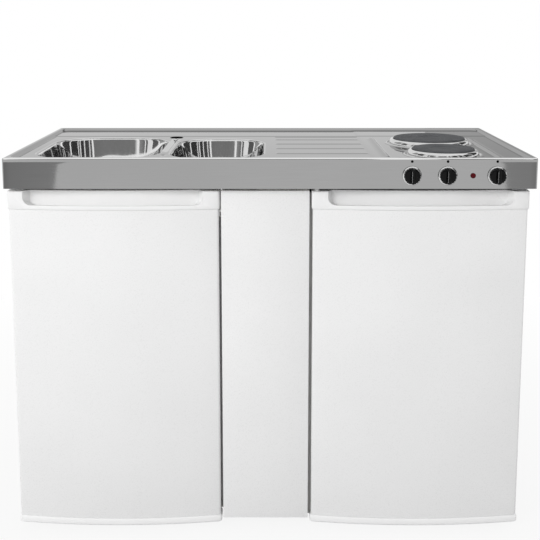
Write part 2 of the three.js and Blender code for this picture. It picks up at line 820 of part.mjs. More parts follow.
const makeLamp = () =>
  turned(
    [
      [0, -sheet - lampBodyLength],
      [lampBodyRadius, -sheet - lampBodyLength],
      [lampBodyRadius, clearance],
      [lampRadius, clearance],
      [lampRadius, 0.5 * lampReach],
      [0.7 * lampRadius, 0.875 * lampReach],
      [0, lampReach],
    ],
    bodyFacets,
  );
add('pilot_lamp', at(facingFront(makeLamp()), right - lampInset, 0, controlZ), redLens);

// ---- Cupboard carcass
const earBottom = doorTop + hingePlate + 2 * clearance + earGap; // the sides reach forward above the door
const floorTop = cupboardFloorGap + panel;

const makeSide = () => {
  const wall = box(cupboardLeft, cupboardLeft + panel, bodyFront, cupboardRear, cupboardFloorGap, seatZ);
  const ear = box(cupboardLeft, cupboardLeft + panel, sheet + clearance, bodyFront + past, earBottom, seatZ);
  return join(wall, ear);
};
add('cupboard_side', makeSide(), whiteBoard);

const fillerBack = doorFront + fillerThickness;

// The divider stands behind the filler panel; it is notched where the small bowl's flange reaches over it.
const makeDivider = () => {
  const front = fillerBack + clearance;
  const wall = box(dividerX, fillerRight, front, cupboardRear, cupboardFloorGap, seatZ);
  const ear = box(dividerX, fillerRight, sheet + clearance, front + past, earBottom, seatZ);
  const notch = (room, drop) =>
    box(
      smallBowlX - smallBowlWidth / 2 - room,
      smallBowlX + smallBowlWidth / 2 + room,
      smallBowlFront - room,
      smallBowlFront + smallBowlLength + room,
      seatZ - drop,
      seatZ + past,
    );
  const gap = bowlWall + clearance;
  return cut(join(wall, ear), notch(gap, smallBowlDrop + gap), notch(bowlFlange + clearance, gap));
};
add('cupboard_divider', makeDivider(), whiteBoard);

const insideLeft = cupboardLeft + panel + clearance;
const insideRight = dividerX - clearance;
const makeCupboardFloor = () => {
  const whole = box(insideLeft, insideRight, bodyFront, cupboardRear, cupboardFloorGap, floorTop);
  const front = fillerBack + clearance;
  const tongue = box(fillerLeft, insideRight, front, bodyFront + past, cupboardFloorGap, floorTop);
  return join(whole, tongue);
};
add('cupboard_floor', makeCupboardFloor(), whiteBoard);

const frontRailFront = sheet + clearance;
add(
  'cupboard_front_rail',
  box(insideLeft, insideRight, frontRailFront, frontRailFront + panel, seatZ - railHeight, seatZ),
  whiteBoard,
);
const backRailTop = rimZ - backRailDrop + backRailHeight;
add(
  'cupboard_back_rail',
  box(insideLeft, insideRight, cupboardRear - panel, cupboardRear, backRailTop - backRailHeight, backRailTop),
  whiteBoard,
);

// The filler panel is fixed to the divider's edge. Its batten stands on the cupboard floor, ends below
// the small bowl and carries the strip that stops the cupboard door.
const makeFiller = () => {
  const board = box(fillerLeft, fillerRight, doorFront, fillerBack, fillerFloorGap, doorTop);
  const inner = fillerLeft + panel;
  const stop = doorBack + 2 * clearance;
  const z0 = floorTop + clearance;
  const z1 = seatZ - smallBowlDrop - bowlWall - battenBelowBowl;
  const batten = box(fillerLeft, inner, fillerBack - past, stop + past, z0, z1);
  const strip = box(fillerLeft - stopReach, inner, stop, stop + stopThickness, z0, z1);
  return join(board, batten, strip);
};
add('filler_panel', makeFiller(), whiteSteel);

// A screw foot under a base at the given height.
const addFoot = (name, x, y, base) => {
  const top = base - clearance;
  const foot = turned(
    [
      [0, 0],
      [footRadius - footChamfer, 0],
      [footRadius, footChamfer],
      [footRadius, footPad - footChamfer],
      [stemRadius + footChamfer, footPad],
      [stemRadius, footPad],
      [stemRadius, top],
      [0, top],
    ],
    14,
  );
  add(name, foot, blackPlastic).position.set(x, y, 0);
};
const cupboardFeet = [
  [insideLeft + footInset, bodyFront + footInset],
  [insideRight - footInset, bodyFront + footInset],
  [insideRight - footInset, cupboardRear - footInset],
  [insideLeft + footInset, cupboardRear - footInset],
];
cupboardFeet.forEach(([x, y], i) => addFoot(`cupboard_foot_${i + 1}`, x, y, cupboardFloorGap));

// ---- Doors, each made about its own middle: x from the middle, y back from the side edges' front
const frontAt = (x, width) => -doorBulge * (1 - (2 * x / width) ** 2);

const doorOutline = (width, grow, depth, steps = 14) => {
  const half = width / 2 + grow;
  const radius = doorCorner;
  const points = [];
  for (let i = 0; i <= steps; i++) {
    const x = (half - radius) * ((2 * i) / steps - 1);
    points.push(new THREE.Vector2(x, frontAt(x, 2 * half) - Math.max(grow, 0)));
  }
  const shoulder = points.at(-1).y + radius;
  const corner = doorCornerTurns.map((degrees) => {
    const angle = THREE.MathUtils.degToRad(degrees);
    return new THREE.Vector2(half - radius + radius * Math.sin(angle), shoulder - radius * Math.cos(angle));
  });
  points.push(...corner, new THREE.Vector2(half, depth), new THREE.Vector2(-half, depth));
  points.push(...corner.reverse().map((point) => new THREE.Vector2(-point.x, point.y)));
  return points;
};

const skinBottom = doorBottom + bottomCapHeight + clearance;
const skinTop = doorTop - topCapHeight - clearance;

const makeSkin = (width) => {
  const hollow = doorOutline(width - 2 * doorSkin, 0, doorThickness + past);
  hollow.forEach((point) => {
    point.y += doorSkin;
  });
  return cut(
    prism(doorOutline(width, 0, doorThickness), skinBottom, skinTop),
    prism(hollow, skinBottom - past, skinTop + past),
  );
};

// Plan of a band that follows the door's front between two depths, with ends drawn in by slant.
const frontBand = (width, half, from, to, slant, steps = 12) => {
  const along = (reach, depth) =>
    Array.from({ length: steps + 1 }, (_, i) => {
      const x = reach * ((2 * i) / steps - 1);
      return new THREE.Vector2(x, frontAt(x, width) + depth);
    });
  return [...along(half, from), ...along(half - slant, to).reverse()];
};

const makeTopCap = (width, pinX) => {
  const bottom = doorTop - topCapHeight;
  const block = loft([
    [bottom, doorOutline(width, capOverlap - 1, doorThickness)],
    [bottom + capChamfer, doorOutline(width, capOverlap, doorThickness)],
    [doorTop - capChamfer, doorOutline(width, capOverlap, doorThickness)],
    [doorTop, doorOutline(width, capOverlap - 1.5, doorThickness)],
  ]);
  const half = width / 2 - gripInset;
  const grooveZ = bottom + capFloor;
  const band = frontBand(width, half, -doorBulge, gripDepth, gripDepth);
  const mouth = prism(band, grooveZ + gripWell, doorTop + past);
  const groove = prism(frontBand(width, half - gripDepth, gripLip, gripDepth, 0), grooveZ, doorTop + past);
  const hole = cylinder(pinRadius + pinPlay, doorTop - pinLength - past, doorTop + past);
  return cut(block, mouth, groove, at(hole, pinX, pinBehindEdge));
};

const makeBottomCap = (width, pinX) => {
  const block = loft([
    [doorBottom, doorOutline(width, 0, doorThickness)],
    [doorBottom + bottomCapEdge.low, doorOutline(width, capOverlap, doorThickness)],
    [doorBottom + bottomCapHeight - bottomCapEdge.high, doorOutline(width, capOverlap, doorThickness)],
    [doorBottom + bottomCapHeight, doorOutline(width, bottomCapEdge.lip, doorThickness)],
  ]);
  const hole = cylinder(pinRadius + pinPlay, doorBottom - past, doorBottom + pinLength + past);
  return cut(block, at(hole, pinX, pinBehindEdge));
};

const boardHalf = (width) => width / 2 - doorSkin - clearance;

// Adds a door's skin and caps; side is -1 for hinges on the left and 1 for hinges on the right.
const addDoor = (prefix, x, width, side) => {
  const door = new THREE.Group();
  door.position.set(x, doorFront, 0);
  unit.add(door);
  const pinX = side * (width / 2 - hingeInset);
  add(`${prefix}_skin`, makeSkin(width), whiteSteel, door);
  add(`${prefix}_top_cap`, makeTopCap(width, pinX), whitePlastic, door);
  add(`${prefix}_bottom_cap`, makeBottomCap(width, pinX), whitePlastic, door);
  return door;
};

const cupboardDoor = addDoor('cupboard_door', cupboardDoorX, cupboardDoorWidth, -1);
const cupboardBoard = boardHalf(cupboardDoorWidth);
add(
  'cupboard_door_board',
  box(-cupboardBoard, cupboardBoard, doorThickness - boardThickness, doorThickness, skinBottom, skinTop),
  whiteBoard,
  cupboardDoor,
);

const fridgeDoor = addDoor('fridge_door', fridgeDoorX, fridgeDoorWidth, 1);

// ---- Hinge brackets: a plate over or under the door with its pin, and a block fixed to the body
const pinY = doorFront + pinBehindEdge;

const makeHinge = (side, x, doorFace, up, blockFace) => {
  const plateFace = doorFace - up * clearance;
  const plateBack = plateFace - up * hingePlate;
  const x0 = side < 0 ? x - hingeInset + 1 : x - hingeWidth + hingeInset - 1;
  const low = Math.min(plateFace, plateBack);
  const high = Math.max(plateFace, plateBack);
  const reachEnd = bodyFront + hingeLength;
  const plate = box(x0, x0 + hingeWidth, pinY - 2 * pinRadius, reachEnd, low, high);
  const ends = [plateBack, blockFace].sort((a, b) => a - b);
  const blockLow = Math.min(low, ends[0]);
  const block = box(x0, x0 + hingeWidth, bodyFront + 1, reachEnd, blockLow, Math.max(high, ends[1]));
  const pinEnd = plateFace + up * pinLength;
  const pin = cylinder(pinRadius, Math.min(plateBack, pinEnd), Math.max(plateBack, pinEnd));
  return join(plate, block, at(pin, x, pinY));
};

const cupboardPinX = cupboardLeft + hingeInset;
const fridgePinX = right - endGapRight - hingeInset;

// The cupboard's upper plate hangs from the side's ear; the lower one is fixed under the side.
const makeCupboardTopHinge = () => {
  const low = doorTop + clearance;
  const x0 = cupboardPinX - hingeInset + 1;
  const plateFront = pinY - 2 * pinRadius;
  const plateRear = bodyFront - clearance;
  const plate = box(x0, x0 + hingeWidth, plateFront, plateRear, low, earBottom - clearance);
  return join(plate, at(cylinder(pinRadius, low - pinLength, low + past), cupboardPinX, pinY));
};
add('cupboard_hinge_top', makeCupboardTopHinge(), galvanised);
add(
  'cupboard_hinge_bottom',
  makeHinge(-1, cupboardPinX, doorBottom, 1, cupboardFloorGap - clearance),
  galvanised,
);
add('fridge_hinge_top', makeHinge(1, fridgePinX, doorTop, -1, cabinetTop + clearance), galvanised);
add('fridge_hinge_bottom', makeHinge(1, fridgePinX, doorBottom, 1, fridgeFloorGap - clearance), galvanised);

// ---- Refrigerator cabinet and liner
const coldLeft = cabinetLeft + fridgeWall;
const coldRight = cabinetRight - fridgeWall;
const coldRear = fridgeRear - fridgeBack;
const coldBottom = fridgeFloorGap + fridgeWall;
const coldTop = cabinetTop - fridgeWall;
const bayTop = fridgeFloorGap + compressorHeight + bayHeadroom;
const bayDepth = 2 * (compressorRadius + bayGap);
const bayFront = fridgeRear - bayDepth;
const humpTop = bayTop + humpWall;
const humpFront = bayFront - humpWall;

// The cold space, grown by a wall; the step over the compressor bay is left out.
const coldSpace = (grow, front = bodyFront - past) => {
  const [x0, x1, z0] = [coldLeft - grow, coldRight + grow, coldBottom - grow];
  const whole = box(x0, x1, front, coldRear + grow, z0, coldTop + grow);
  const beyond = grow + past;
  const step = box(
    coldLeft - beyond,
    coldRight + beyond,
    humpFront + grow,
    coldRear + beyond,
    coldBottom - beyond,
    humpTop - grow,
  );
  return cut(whole, step);
};

const makeCabinet = () => {
  const whole = box(cabinetLeft, cabinetRight, bodyFront, fridgeRear, fridgeFloorGap, cabinetTop);
  const bay = box(
    cabinetLeft + bayWall,
    cabinetRight - bayWall,
    bayFront,
    fridgeRear + past,
    fridgeFloorGap + bayFloor,
    bayTop,
  );
  const skidRear = fridgeRear - skidInset;
  const skids = [cabinetLeft + bayWall, cabinetRight - bayWall - skidWidth].map((x) =>
    box(x, x + skidWidth, skidRear - skidLength, skidRear, 0, fridgeFloorGap + past),
  );
  return cut(join(whole, ...skids), coldSpace(linerWall + clearance), bay);
};
add('fridge_cabinet', makeCabinet(), whiteSteel);

const rackFront = doorThickness + plateauDepth + clearance; // in the door's own frame
const shelfFront = doorFront + rackFront + rackDepth + shelfBehindRack;
const lowerShelfHeight = humpTop + lowerShelfRise;
const shelfHeights = [lowerShelfHeight + shelfSpacing, lowerShelfHeight];
const makeLiner = () => {
  const ledges = shelfHeights.flatMap((height) => [
    box(coldLeft - past, coldLeft + ledge, shelfFront, coldRear + past, height - ledge, height),
    box(coldRight - ledge, coldRight + past, shelfFront, coldRear + past, height - ledge, height),
  ]);
  return join(cut(coldSpace(linerWall, bodyFront), coldSpace(0)), ...ledges);
};
add('fridge_liner', makeLiner(), whitePlastic);

['glass_shelf_upper', 'glass_shelf_lower'].forEach((name, i) => {
  const z = shelfHeights[i] + clearance;
  const x0 = coldLeft + clearance;
  const x1 = coldRight - clearance;
  add(name, box(x0, x1, shelfFront, coldRear - clearance, z, z + glass), shelfGlass);
});

// ---- Ice box under the liner's ceiling, with cheeks that hold the flap's pins
const iceTop = coldTop - clearance;
const iceBottom = iceTop - iceBoxHeight;
const iceBoxFront = shelfFront + iceBoxBehindShelf;
const flapAxisY = iceBoxFront - flapRun - flapThickness / 2;
const flapAxisZ = iceTop - iceBoxWall - flapTopGap - flapThickness / 2;
const alongX = (solid) => solid.rotate([0, 90, 0]);

const makeIceBox = () => {
  const x0 = coldLeft + clearance;
  const x1 = coldRight - clearance;
  const front = flapAxisY - cheekReach;
  const whole = box(x0, x1, front, coldRear - clearance, iceBottom, iceTop);
  const inside = box(
    x0 + iceBoxWall,
    x1 - iceBoxWall,
    front - 1,
    coldRear - clearance - iceBoxWall,
    iceBottom + iceBoxWall,
    iceTop - iceBoxWall,
  );
  const [inLeft, inRight] = [x0 + iceBoxWall, x1 - iceBoxWall];
  const porch = box(inLeft, inRight, front - past, iceBoxFront, iceBottom - past, iceTop + past);
  const bore = alongX(cylinder(flapPinRadius + pinPlay, x0 - past, x1 + past, boreFacets));
  const pinBore = at(bore, 0, flapAxisY, flapAxisZ);
  return cut(whole, inside, porch, pinBore);
};
add('ice_box', makeIceBox(), galvanised);

const makeFlap = () => {
  const x0 = coldLeft + clearance + iceBoxWall + flapSideGap;
  const x1 = coldRight - clearance - iceBoxWall - flapSideGap;
  const y0 = flapAxisY - flapThickness / 2;
  const y1 = flapAxisY + flapThickness / 2;
  const plate = box(x0, x1, y0, y1, iceBottom + iceBoxWall, flapAxisZ + 1);
  const roll = at(alongX(cylinder(flapThickness / 2, x0, x1, boreFacets)), 0, flapAxisY, flapAxisZ);
  const pullZ = iceBottom + iceBoxWall + 2 * flapPullThickness;
  const pull = box(
    -flapPullWidth / 2,
    flapPullWidth / 2,
    y0 - flapPull,
    y0 + past,
    pullZ,
    pullZ + flapPullThickness,
  );
  const reach = iceBoxWall + flapSideGap - clearance;
  const pin = alongX(cylinder(flapPinRadius, x0 - reach, x1 + reach, smallFacets));
  const pins = at(pin, 0, flapAxisY, flapAxisZ);
  return join(plate, roll, at(pull, (x0 + x1) / 2, 0), pins);
};
add('ice_box_flap', makeFlap(), whitePlastic);

// ---- Thermostat on the liner's right wall
const thermostatZ = iceBottom - thermostatSize / 2 - thermostatDrop;
const thermostatX = coldRight - clearance - thermostatSize / 2;
const thermostatFront = iceBoxFront + thermostatSetback;

const makeThermostat = () => {
  const body = box(
    thermostatX - thermostatSize / 2,
    thermostatX + thermostatSize / 2,
    thermostatFront,
    thermostatFront + thermostatDepth,
    thermostatZ - thermostatSize / 2,
    thermostatZ + thermostatSize / 2,
  );
  const bore = facingFront(cylinder(spindleRadius + clearance, -spindleLength, past, boreFacets));
  return cut(body, at(bore, thermostatX, thermostatFront, thermostatZ));
};
add('thermostat_box', makeThermostat(), whitePlastic);

const makeThermostatKnob = () => {
  const dial = turned(
    [
      [0, clearance],
      [thermostatKnobRadius, clearance],
      [thermostatKnobRadius - 1, thermostatKnobHeight - 2],
      [thermostatKnobRadius - thermostatRail.inset, thermostatKnobHeight],
      [0, thermostatKnobHeight],
    ],
    turnedFacets,
  );
  const { width, inset, rise } = thermostatRail;
  const reach = thermostatKnobRadius - inset;
  const rail = box(-width / 2, width / 2, -reach, reach, past, thermostatKnobHeight + rise);
  const spindle = cylinder(spindleRadius, spindleGap - spindleLength, past, boreFacets);
  return facingFront(join(dial, rail, spindle));
};
add('thermostat_knob', at(makeThermostatKnob(), thermostatX, thermostatFront, thermostatZ), whitePlastic);

// ---- Compressor in its bay, and condenser on the back
const makeCompressor = () => {
  const z0 = fridgeFloorGap + bayFloor + clearance;
  const pot = turned(
    [
      [0, z0 + compressorLift],
      ...compressorCurve.map(([share, height]) => [compressorRadius * share, z0 + height]),
      [0, z0 + compressorHeight],
    ],
    bodyFacets,
  );
  const { width, depth, corner, thickness } = compressorPlate;
  const plateZ = z0 + compressorMount.height - past;
  const plate = prism(roundedRect(0, 0, width, depth, corner, 3), plateZ, plateZ + thickness);
  const spots = [[-1, -1], [1, -1], [1, 1], [-1, 1]];
  const mount = cylinder(compressorMount.radius, z0, z0 + compressorMount.height, smallFacets);
  const mounts = spots.map(([sx, sy]) =>
    at(mount, sx * compressorMount.halfWidth, sy * compressorMount.halfDepth),
  );
  return join(pot, plate, ...mounts);
};
const cabinetX = (cabinetLeft + cabinetRight) / 2;
add('compressor', at(makeCompressor(), cabinetX, fridgeRear - bayDepth / 2 + 1), blackPaint);

// A serpentine of level runs with half-round bends, on two straps that stand off the cabinet's back.
const makeCondenser = () => {
  const y = fridgeRear + condenserStandoff;
  const zTop = cabinetTop - condenserBelowTop;
  const z0 = bayTop + condenserAboveBay;
  const pitch = (zTop - z0) / (condenserRows - 1);
  const bend = pitch / 2;
  const bendSteps = 4;
  const x0 = cabinetLeft + condenserInset + bend;
  const x1 = cabinetRight - condenserInset - bend;
  const points = [];
  for (let row = 0; row < condenserRows; row++) {
    const z = z0 + row * pitch;
    const outward = row % 2 === 0 ? 1 : -1;
    const end = outward > 0 ? x1 : x0;
    points.push(new THREE.Vector3(outward > 0 ? x0 : x1, y, z));
    points.push(new THREE.Vector3(end, y, z));
    for (let step = 1; step < bendSteps && row + 1 < condenserRows; step++) {
      const angle = (Math.PI * step) / bendSteps;
      const across = outward * bend * Math.sin(angle);
      points.push(new THREE.Vector3(end + across, y, z + bend * (1 - Math.cos(angle))));
    }
  }
  const coil = pipe(points, condenserRadius, new THREE.Vector3(0, 1, 0), 6);
  const { inset, width, thickness, overhang, stand } = condenserStrap;
  const straps = [x0 + inset, x1 - inset].map((x) => {
    const [stripLeft, stripRight] = [x - width / 2, x + width / 2];
    const [low, high] = [z0 - overhang, zTop + overhang];
    const bar = box(stripLeft, stripRight, y - thickness / 2, y + thickness / 2, low, high);
    const ends = [low, high - stand].map((z) =>
      box(stripLeft, stripRight, fridgeRear + clearance, y, z, z + stand),
    );
    return join(bar, ...ends);
  });
  return join(coil, ...straps);
};
add('condenser', makeCondenser(), blackPaint);

['fridge_foot_left', 'fridge_foot_right'].forEach((name, i) => {
  const x = i === 0 ? cabinetLeft + footInset : cabinetRight - footInset;
  addFoot(name, x, bodyFront + footInset, fridgeFloorGap);
});

// ---- Refrigerator door: liner with a raised middle, gasket and racks, in the door's own frame
const fridgeBoard = boardHalf(fridgeDoorWidth);
const plateauHalf = (coldRight - coldLeft) / 2 - plateauInset;
const plateauMiddle = (coldLeft + coldRight) / 2 - fridgeDoorX;
const rackHalf = (coldRight - coldLeft) / 2 - rackInset;

const makeDoorLiner = () => {
  const back = box(
    -fridgeBoard,
    fridgeBoard,
    doorThickness - boardThickness,
    doorThickness,
    skinBottom,
    skinTop,
  );
  const plateau = box(
    plateauMiddle - plateauHalf,
    plateauMiddle + plateauHalf,
    doorThickness - past,
    doorThickness + plateauDepth,
    coldBottom + plateauInset,
    skinTop - gasketInset - gasketWidth,
  );
  return join(back, plateau);
};
add('fridge_door_liner', makeDoorLiner(), whitePlastic, fridgeDoor);

const makeGasket = () => {
  const half = fridgeDoorWidth / 2 - gasketInset;
  const y0 = doorThickness + clearance;
  const y1 = bodyFront - doorFront - clearance;
  const z0 = skinBottom + gasketRise;
  const z1 = skinTop;
  const frame = box(-half, half, y0, y1, z0, z1);
  const opening = box(
    -half + gasketWidth,
    half - gasketWidth,
    y0 - past,
    y1 + past,
    z0 + gasketWidth,
    z1 - gasketWidth,
  );
  return cut(frame, opening);
};
add('fridge_door_gasket', makeGasket(), greyRubber, fridgeDoor);

const makeRack = (height) => {
  const y0 = rackFront;
  const x0 = plateauMiddle - rackHalf;
  const x1 = plateauMiddle + rackHalf;
  const whole = box(x0, x1, y0, y0 + rackDepth, 0, height);
  const [inLeft, inRight] = [x0 + rackWall, x1 - rackWall];
  const inRear = y0 + rackDepth - rackWall;
  const inside = box(inLeft, inRight, y0 + rackWall, inRear, rackWall, height + past);
  return cut(whole, inside);
};
add('door_rack_upper', makeRack(upperRackHeight), whitePlastic, fridgeDoor).position.z = upperRackFloor;
add('door_rack_lower', makeRack(lowerRackHeight), whitePlastic, fridgeDoor).position.z = lowerRackFloor;

// The origin lies under the middle of the whole, knobs included.
unit.position.y = (knobReach - unitDepth) / 2;

export default unit;
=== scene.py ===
import bpy
import bmesh
import json
from math import atan2, cos, hypot, pi, radians, sin, sqrt
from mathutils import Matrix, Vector
from mathutils.geometry import delaunay_2d_cdt

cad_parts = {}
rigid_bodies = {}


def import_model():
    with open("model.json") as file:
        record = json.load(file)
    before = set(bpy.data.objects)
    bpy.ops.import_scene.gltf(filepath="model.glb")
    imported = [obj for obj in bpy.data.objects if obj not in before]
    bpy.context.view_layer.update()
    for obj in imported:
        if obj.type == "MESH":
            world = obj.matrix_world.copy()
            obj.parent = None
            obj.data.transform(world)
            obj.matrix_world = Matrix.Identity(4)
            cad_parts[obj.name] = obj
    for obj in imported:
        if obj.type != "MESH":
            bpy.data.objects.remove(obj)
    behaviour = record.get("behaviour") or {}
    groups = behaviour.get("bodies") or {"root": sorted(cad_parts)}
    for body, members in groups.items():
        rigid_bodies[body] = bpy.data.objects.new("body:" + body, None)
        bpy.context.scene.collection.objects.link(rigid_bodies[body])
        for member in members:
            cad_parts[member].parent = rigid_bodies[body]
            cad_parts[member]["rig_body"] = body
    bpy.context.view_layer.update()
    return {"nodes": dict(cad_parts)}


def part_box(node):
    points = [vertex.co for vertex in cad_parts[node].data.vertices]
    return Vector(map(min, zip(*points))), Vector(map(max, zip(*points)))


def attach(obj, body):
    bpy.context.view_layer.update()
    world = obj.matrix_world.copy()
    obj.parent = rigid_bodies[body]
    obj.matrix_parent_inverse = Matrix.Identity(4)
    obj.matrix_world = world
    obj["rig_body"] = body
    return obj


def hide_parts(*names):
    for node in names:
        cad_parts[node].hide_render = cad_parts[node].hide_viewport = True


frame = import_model()
nodes = frame["nodes"]
bodyOf = {name: node["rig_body"] for name, node in nodes.items()}
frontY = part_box("worktop")[0].y  # the worktop's front face
print("frame loaded:", len(nodes), "nodes")


def place(x, depth, z):
    # a point from millimetres: X from the middle, depth from the worktop's front, height over the floor
    return (x / 1000, frontY + depth / 1000, z / 1000)


def boxOf(node):
    # the two corners of a CAD node, in the millimetres that place takes
    return [Vector((v.x * 1000, (v.y - frontY) * 1000, v.z * 1000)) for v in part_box(node)]


def circle(x, y, radius, count):
    turns = [2 * pi * i / count for i in range(count)]
    return [(x + radius * cos(turn), y + radius * sin(turn)) for turn in turns]


def tone(value):
    # a picture tone of 0 to 255, or three of them, made linear
    values = value if isinstance(value, tuple) else (value,) * 3
    return tuple(v / 255 / 12.92 if v < 10.3 else ((v / 255 + 0.055) / 1.055) ** 2.4 for v in values) + (1.0,)


# finishes
def startTree(name, kind, inputs, outputs):
    # a node group, with the socket kind of each input and output
    tree = bpy.data.node_groups.new(name, kind)
    for way, sockets in (("INPUT", inputs), ("OUTPUT", outputs)):
        for label, socketKind in sockets.items():
            tree.interface.new_socket(label, in_out=way, socket_type="NodeSocket" + socketKind)
    return tree, tree.nodes.new("NodeGroupInput").outputs, tree.nodes.new("NodeGroupOutput").inputs


def addNode(tree, kind, given=None, **settings):
    # the outputs of a node with its settings; each given input is set to a value, or linked to one socket or a list
    node = tree.nodes.new(kind)
    for key, value in settings.items():
        setattr(node, key, value)
    for key, values in (given or {}).items():
        for value in values if isinstance(values, list) else [values]:
            if isinstance(value, bpy.types.NodeSocket):
                tree.links.new(value, node.inputs[key])
            else:
                node.inputs[key].default_value = value
    return node.outputs


def wire(tree, inputs, sources):
    for key, source in sources.items():
        tree.links.new(source, inputs[key])


def calc(tree, operation, *values):
    return addNode(tree, "ShaderNodeMath", dict(enumerate(values)), operation=operation)[0]


def noise(tree, spot, scale, detail=2.0):
    return addNode(tree, "ShaderNodeTexNoise", {"Vector": spot, "Scale": scale, "Detail": detail})["Fac"]


def bump(tree, height, strength, distance, below=None):
    given = {"Height": height, "Strength": strength, "Distance": distance}
    if below is not None:
        given["Normal"] = below
    return addNode(tree, "ShaderNodeBump", given)[0]


def attribute(tree, name):
    return addNode(tree, "ShaderNodeAttribute", attribute_name=name)["Fac"]


def ramp(tree, source, low, high, valueLow, valueHigh):
    # source from low to high becomes valueLow to valueHigh
    given = {"Value": source, "From Min": low, "From Max": high, "To Min": valueLow, "To Max": valueHigh}
    return addNode(tree, "ShaderNodeMapRange", given)["Result"]


def blend(tree, factor, first, second):
    return addNode(tree, "ShaderNodeMix", {0: factor, 6: first, 7: second}, data_type="RGBA")[2]


def buildSheetFinish():
    # rolled or polished sheet: fine lines one way, and the slow waves left by the press
    tree, given, out = startTree(
        "sheetFinish", "ShaderNodeTree",
        {"Place": "Vector", "Lines": "Vector", "Line Depth": "Float", "Wave Size": "Float", "Wave Depth": "Float"},
        {"Tone": "Float", "Cloud": "Float", "Normal": "Vector"})
    stretched = addNode(tree, "ShaderNodeVectorMath", {0: given["Place"], 1: given["Lines"]}, operation="MULTIPLY")
    lines = noise(tree, stretched[0], 1.0, 3.0)
    waves = noise(tree, given["Place"], given["Wave Size"], 1.0)
    relief = bump(tree, lines, given["Line Depth"], 0.0004, bump(tree, waves, given["Wave Depth"], 0.02))
    wire(tree, out, {"Tone": lines, "Cloud": waves, "Normal": relief})
    return tree


def buildSkinFinish():
    # paint, enamel and moulded plastic: a fine skin texture over slow unevenness
    tree, given, out = startTree(
        "skinFinish", "ShaderNodeTree",
        {"Place": "Vector", "Grain Size": "Float", "Grain Depth": "Float", "Patch Size": "Float"},
        {"Grain": "Float", "Patch": "Float", "Normal": "Vector"})
    grain = noise(tree, given["Place"], given["Grain Size"])
    patch = noise(tree, given["Place"], given["Patch Size"], 3.0)
    wire(tree, out, {"Grain": grain, "Patch": patch, "Normal": bump(tree, grain, given["Grain Depth"], 0.0006)})
    return tree


sheetFinish = buildSheetFinish()
skinFinish = buildSkinFinish()


def startMaterial(name, roughness, metallic=0.0, **constants):
    # the material, its tree, the Principled's inputs and the object's coordinates
    material = bpy.data.materials.new(name)
    material.use_nodes = True
    tree = material.node_tree
    sockets = tree.nodes["Principled BSDF"].inputs
    for key, value in {"Roughness": roughness, "Metallic": metallic, **constants}.items():
        sockets[key.replace("_", " ")].default_value = value
    return material, tree, sockets, addNode(tree, "ShaderNodeTexCoord")["Object"]


def metalSheet(name, dark, light, roughness, lines, lineDepth, waveSize, waveDepth, spread=0.08, edge=1.0,
               highlightTone=None, satin=None):
    # the last two arguments: a painted highlight, the lighter tone laid on where the mesh's highlight attribute is 1,
    # and roughness added where its satin attribute is 1
    material, tree, sockets, coords = startMaterial(name, roughness, 1.0, Specular_Tint=(edge, edge, edge, 1.0))
    finish = addNode(tree, "ShaderNodeGroup", node_tree=sheetFinish, given={
        "Place": coords, "Lines": lines, "Line Depth": lineDepth, "Wave Size": waveSize, "Wave Depth": waveDepth})
    mixed = calc(tree, "MULTIPLY", finish["Tone"], finish["Cloud"])
    colour = blend(tree, ramp(tree, mixed, 0.12, 0.4, 0, 1), tone(dark), tone(light))
    # a painted highlight: the base colour turns lighter where the mesh's attribute asks for it
    if highlightTone:
        colour = blend(tree, attribute(tree, "paintedHighlight"), colour, tone(highlightTone))
    dull = ramp(tree, finish["Tone"], 0.3, 0.7, roughness - spread, roughness + spread)
    if satin:
        dull = calc(tree, "MULTIPLY_ADD", attribute(tree, "satin"), satin, dull)
    wire(tree, sockets, {"Base Color": colour, "Roughness": dull, "Normal": finish["Normal"]})
    return material


def skinMaterial(name, dark, light, roughness, grainSize, grainDepth, patchSize, spread=0.06, metallic=0.0,
                 **constants):
    material, tree, sockets, coords = startMaterial(name, roughness, metallic, **constants)
    finish = addNode(tree, "ShaderNodeGroup", node_tree=skinFinish, given={
        "Place": coords, "Grain Size": grainSize, "Grain Depth": grainDepth, "Patch Size": patchSize})
    colour = blend(tree, ramp(tree, finish["Patch"], 0.3, 0.7, 0, 1), tone(dark), tone(light))
    dull = ramp(tree, finish["Grain"], 0.3, 0.7, roughness - spread, roughness + spread)
    wire(tree, sockets, {"Base Color": colour, "Roughness": dull, "Normal": finish["Normal"]})
    return material


def buildCastIron():
    # turned cast iron: rings about the plate's own middle, over a grainy skin
    material = skinMaterial("castIron", (74, 75, 77), (88, 89, 91), 0.79, 1600.0, 0.3, 26.0, 0.07,
                            Specular_IOR_Level=0.12)
    tree = material.node_tree
    normal = tree.nodes["Principled BSDF"].inputs["Normal"]
    rings = calc(tree, "SINE", calc(tree, "MULTIPLY", attribute(tree, "fromMiddle"), 2600.0))
    tree.links.new(bump(tree, rings, 0.25, 0.0003, normal.links[0].from_socket), normal)
    return material


def buildRedLens():
    material, tree, sockets, coords = startMaterial("redLens", 0.2, Specular_IOR_Level=0.12)
    ribs = addNode(tree, "ShaderNodeTexVoronoi", {"Vector": coords, "Scale": 700.0})["Distance"]
    colour = blend(tree, ramp(tree, ribs, 0.0, 0.6, 0, 1), tone((132, 16, 28)), tone((60, 4, 10)))
    wire(tree, sockets, {"Base Color": colour, "Normal": bump(tree, ribs, 0.5, 0.0008)})
    return material


def buildShelfGlass():
    material, tree, sockets, coords = startMaterial("shelfGlass", 0.03, Transmission_Weight=0.75, IOR=1.5)
    haze = ramp(tree, noise(tree, coords, 30.0), 0.3, 0.7, 0, 1)
    wire(tree, sockets, {"Base Color": blend(tree, haze, tone((226, 240, 236)), tone((236, 246, 243)))})
    return material
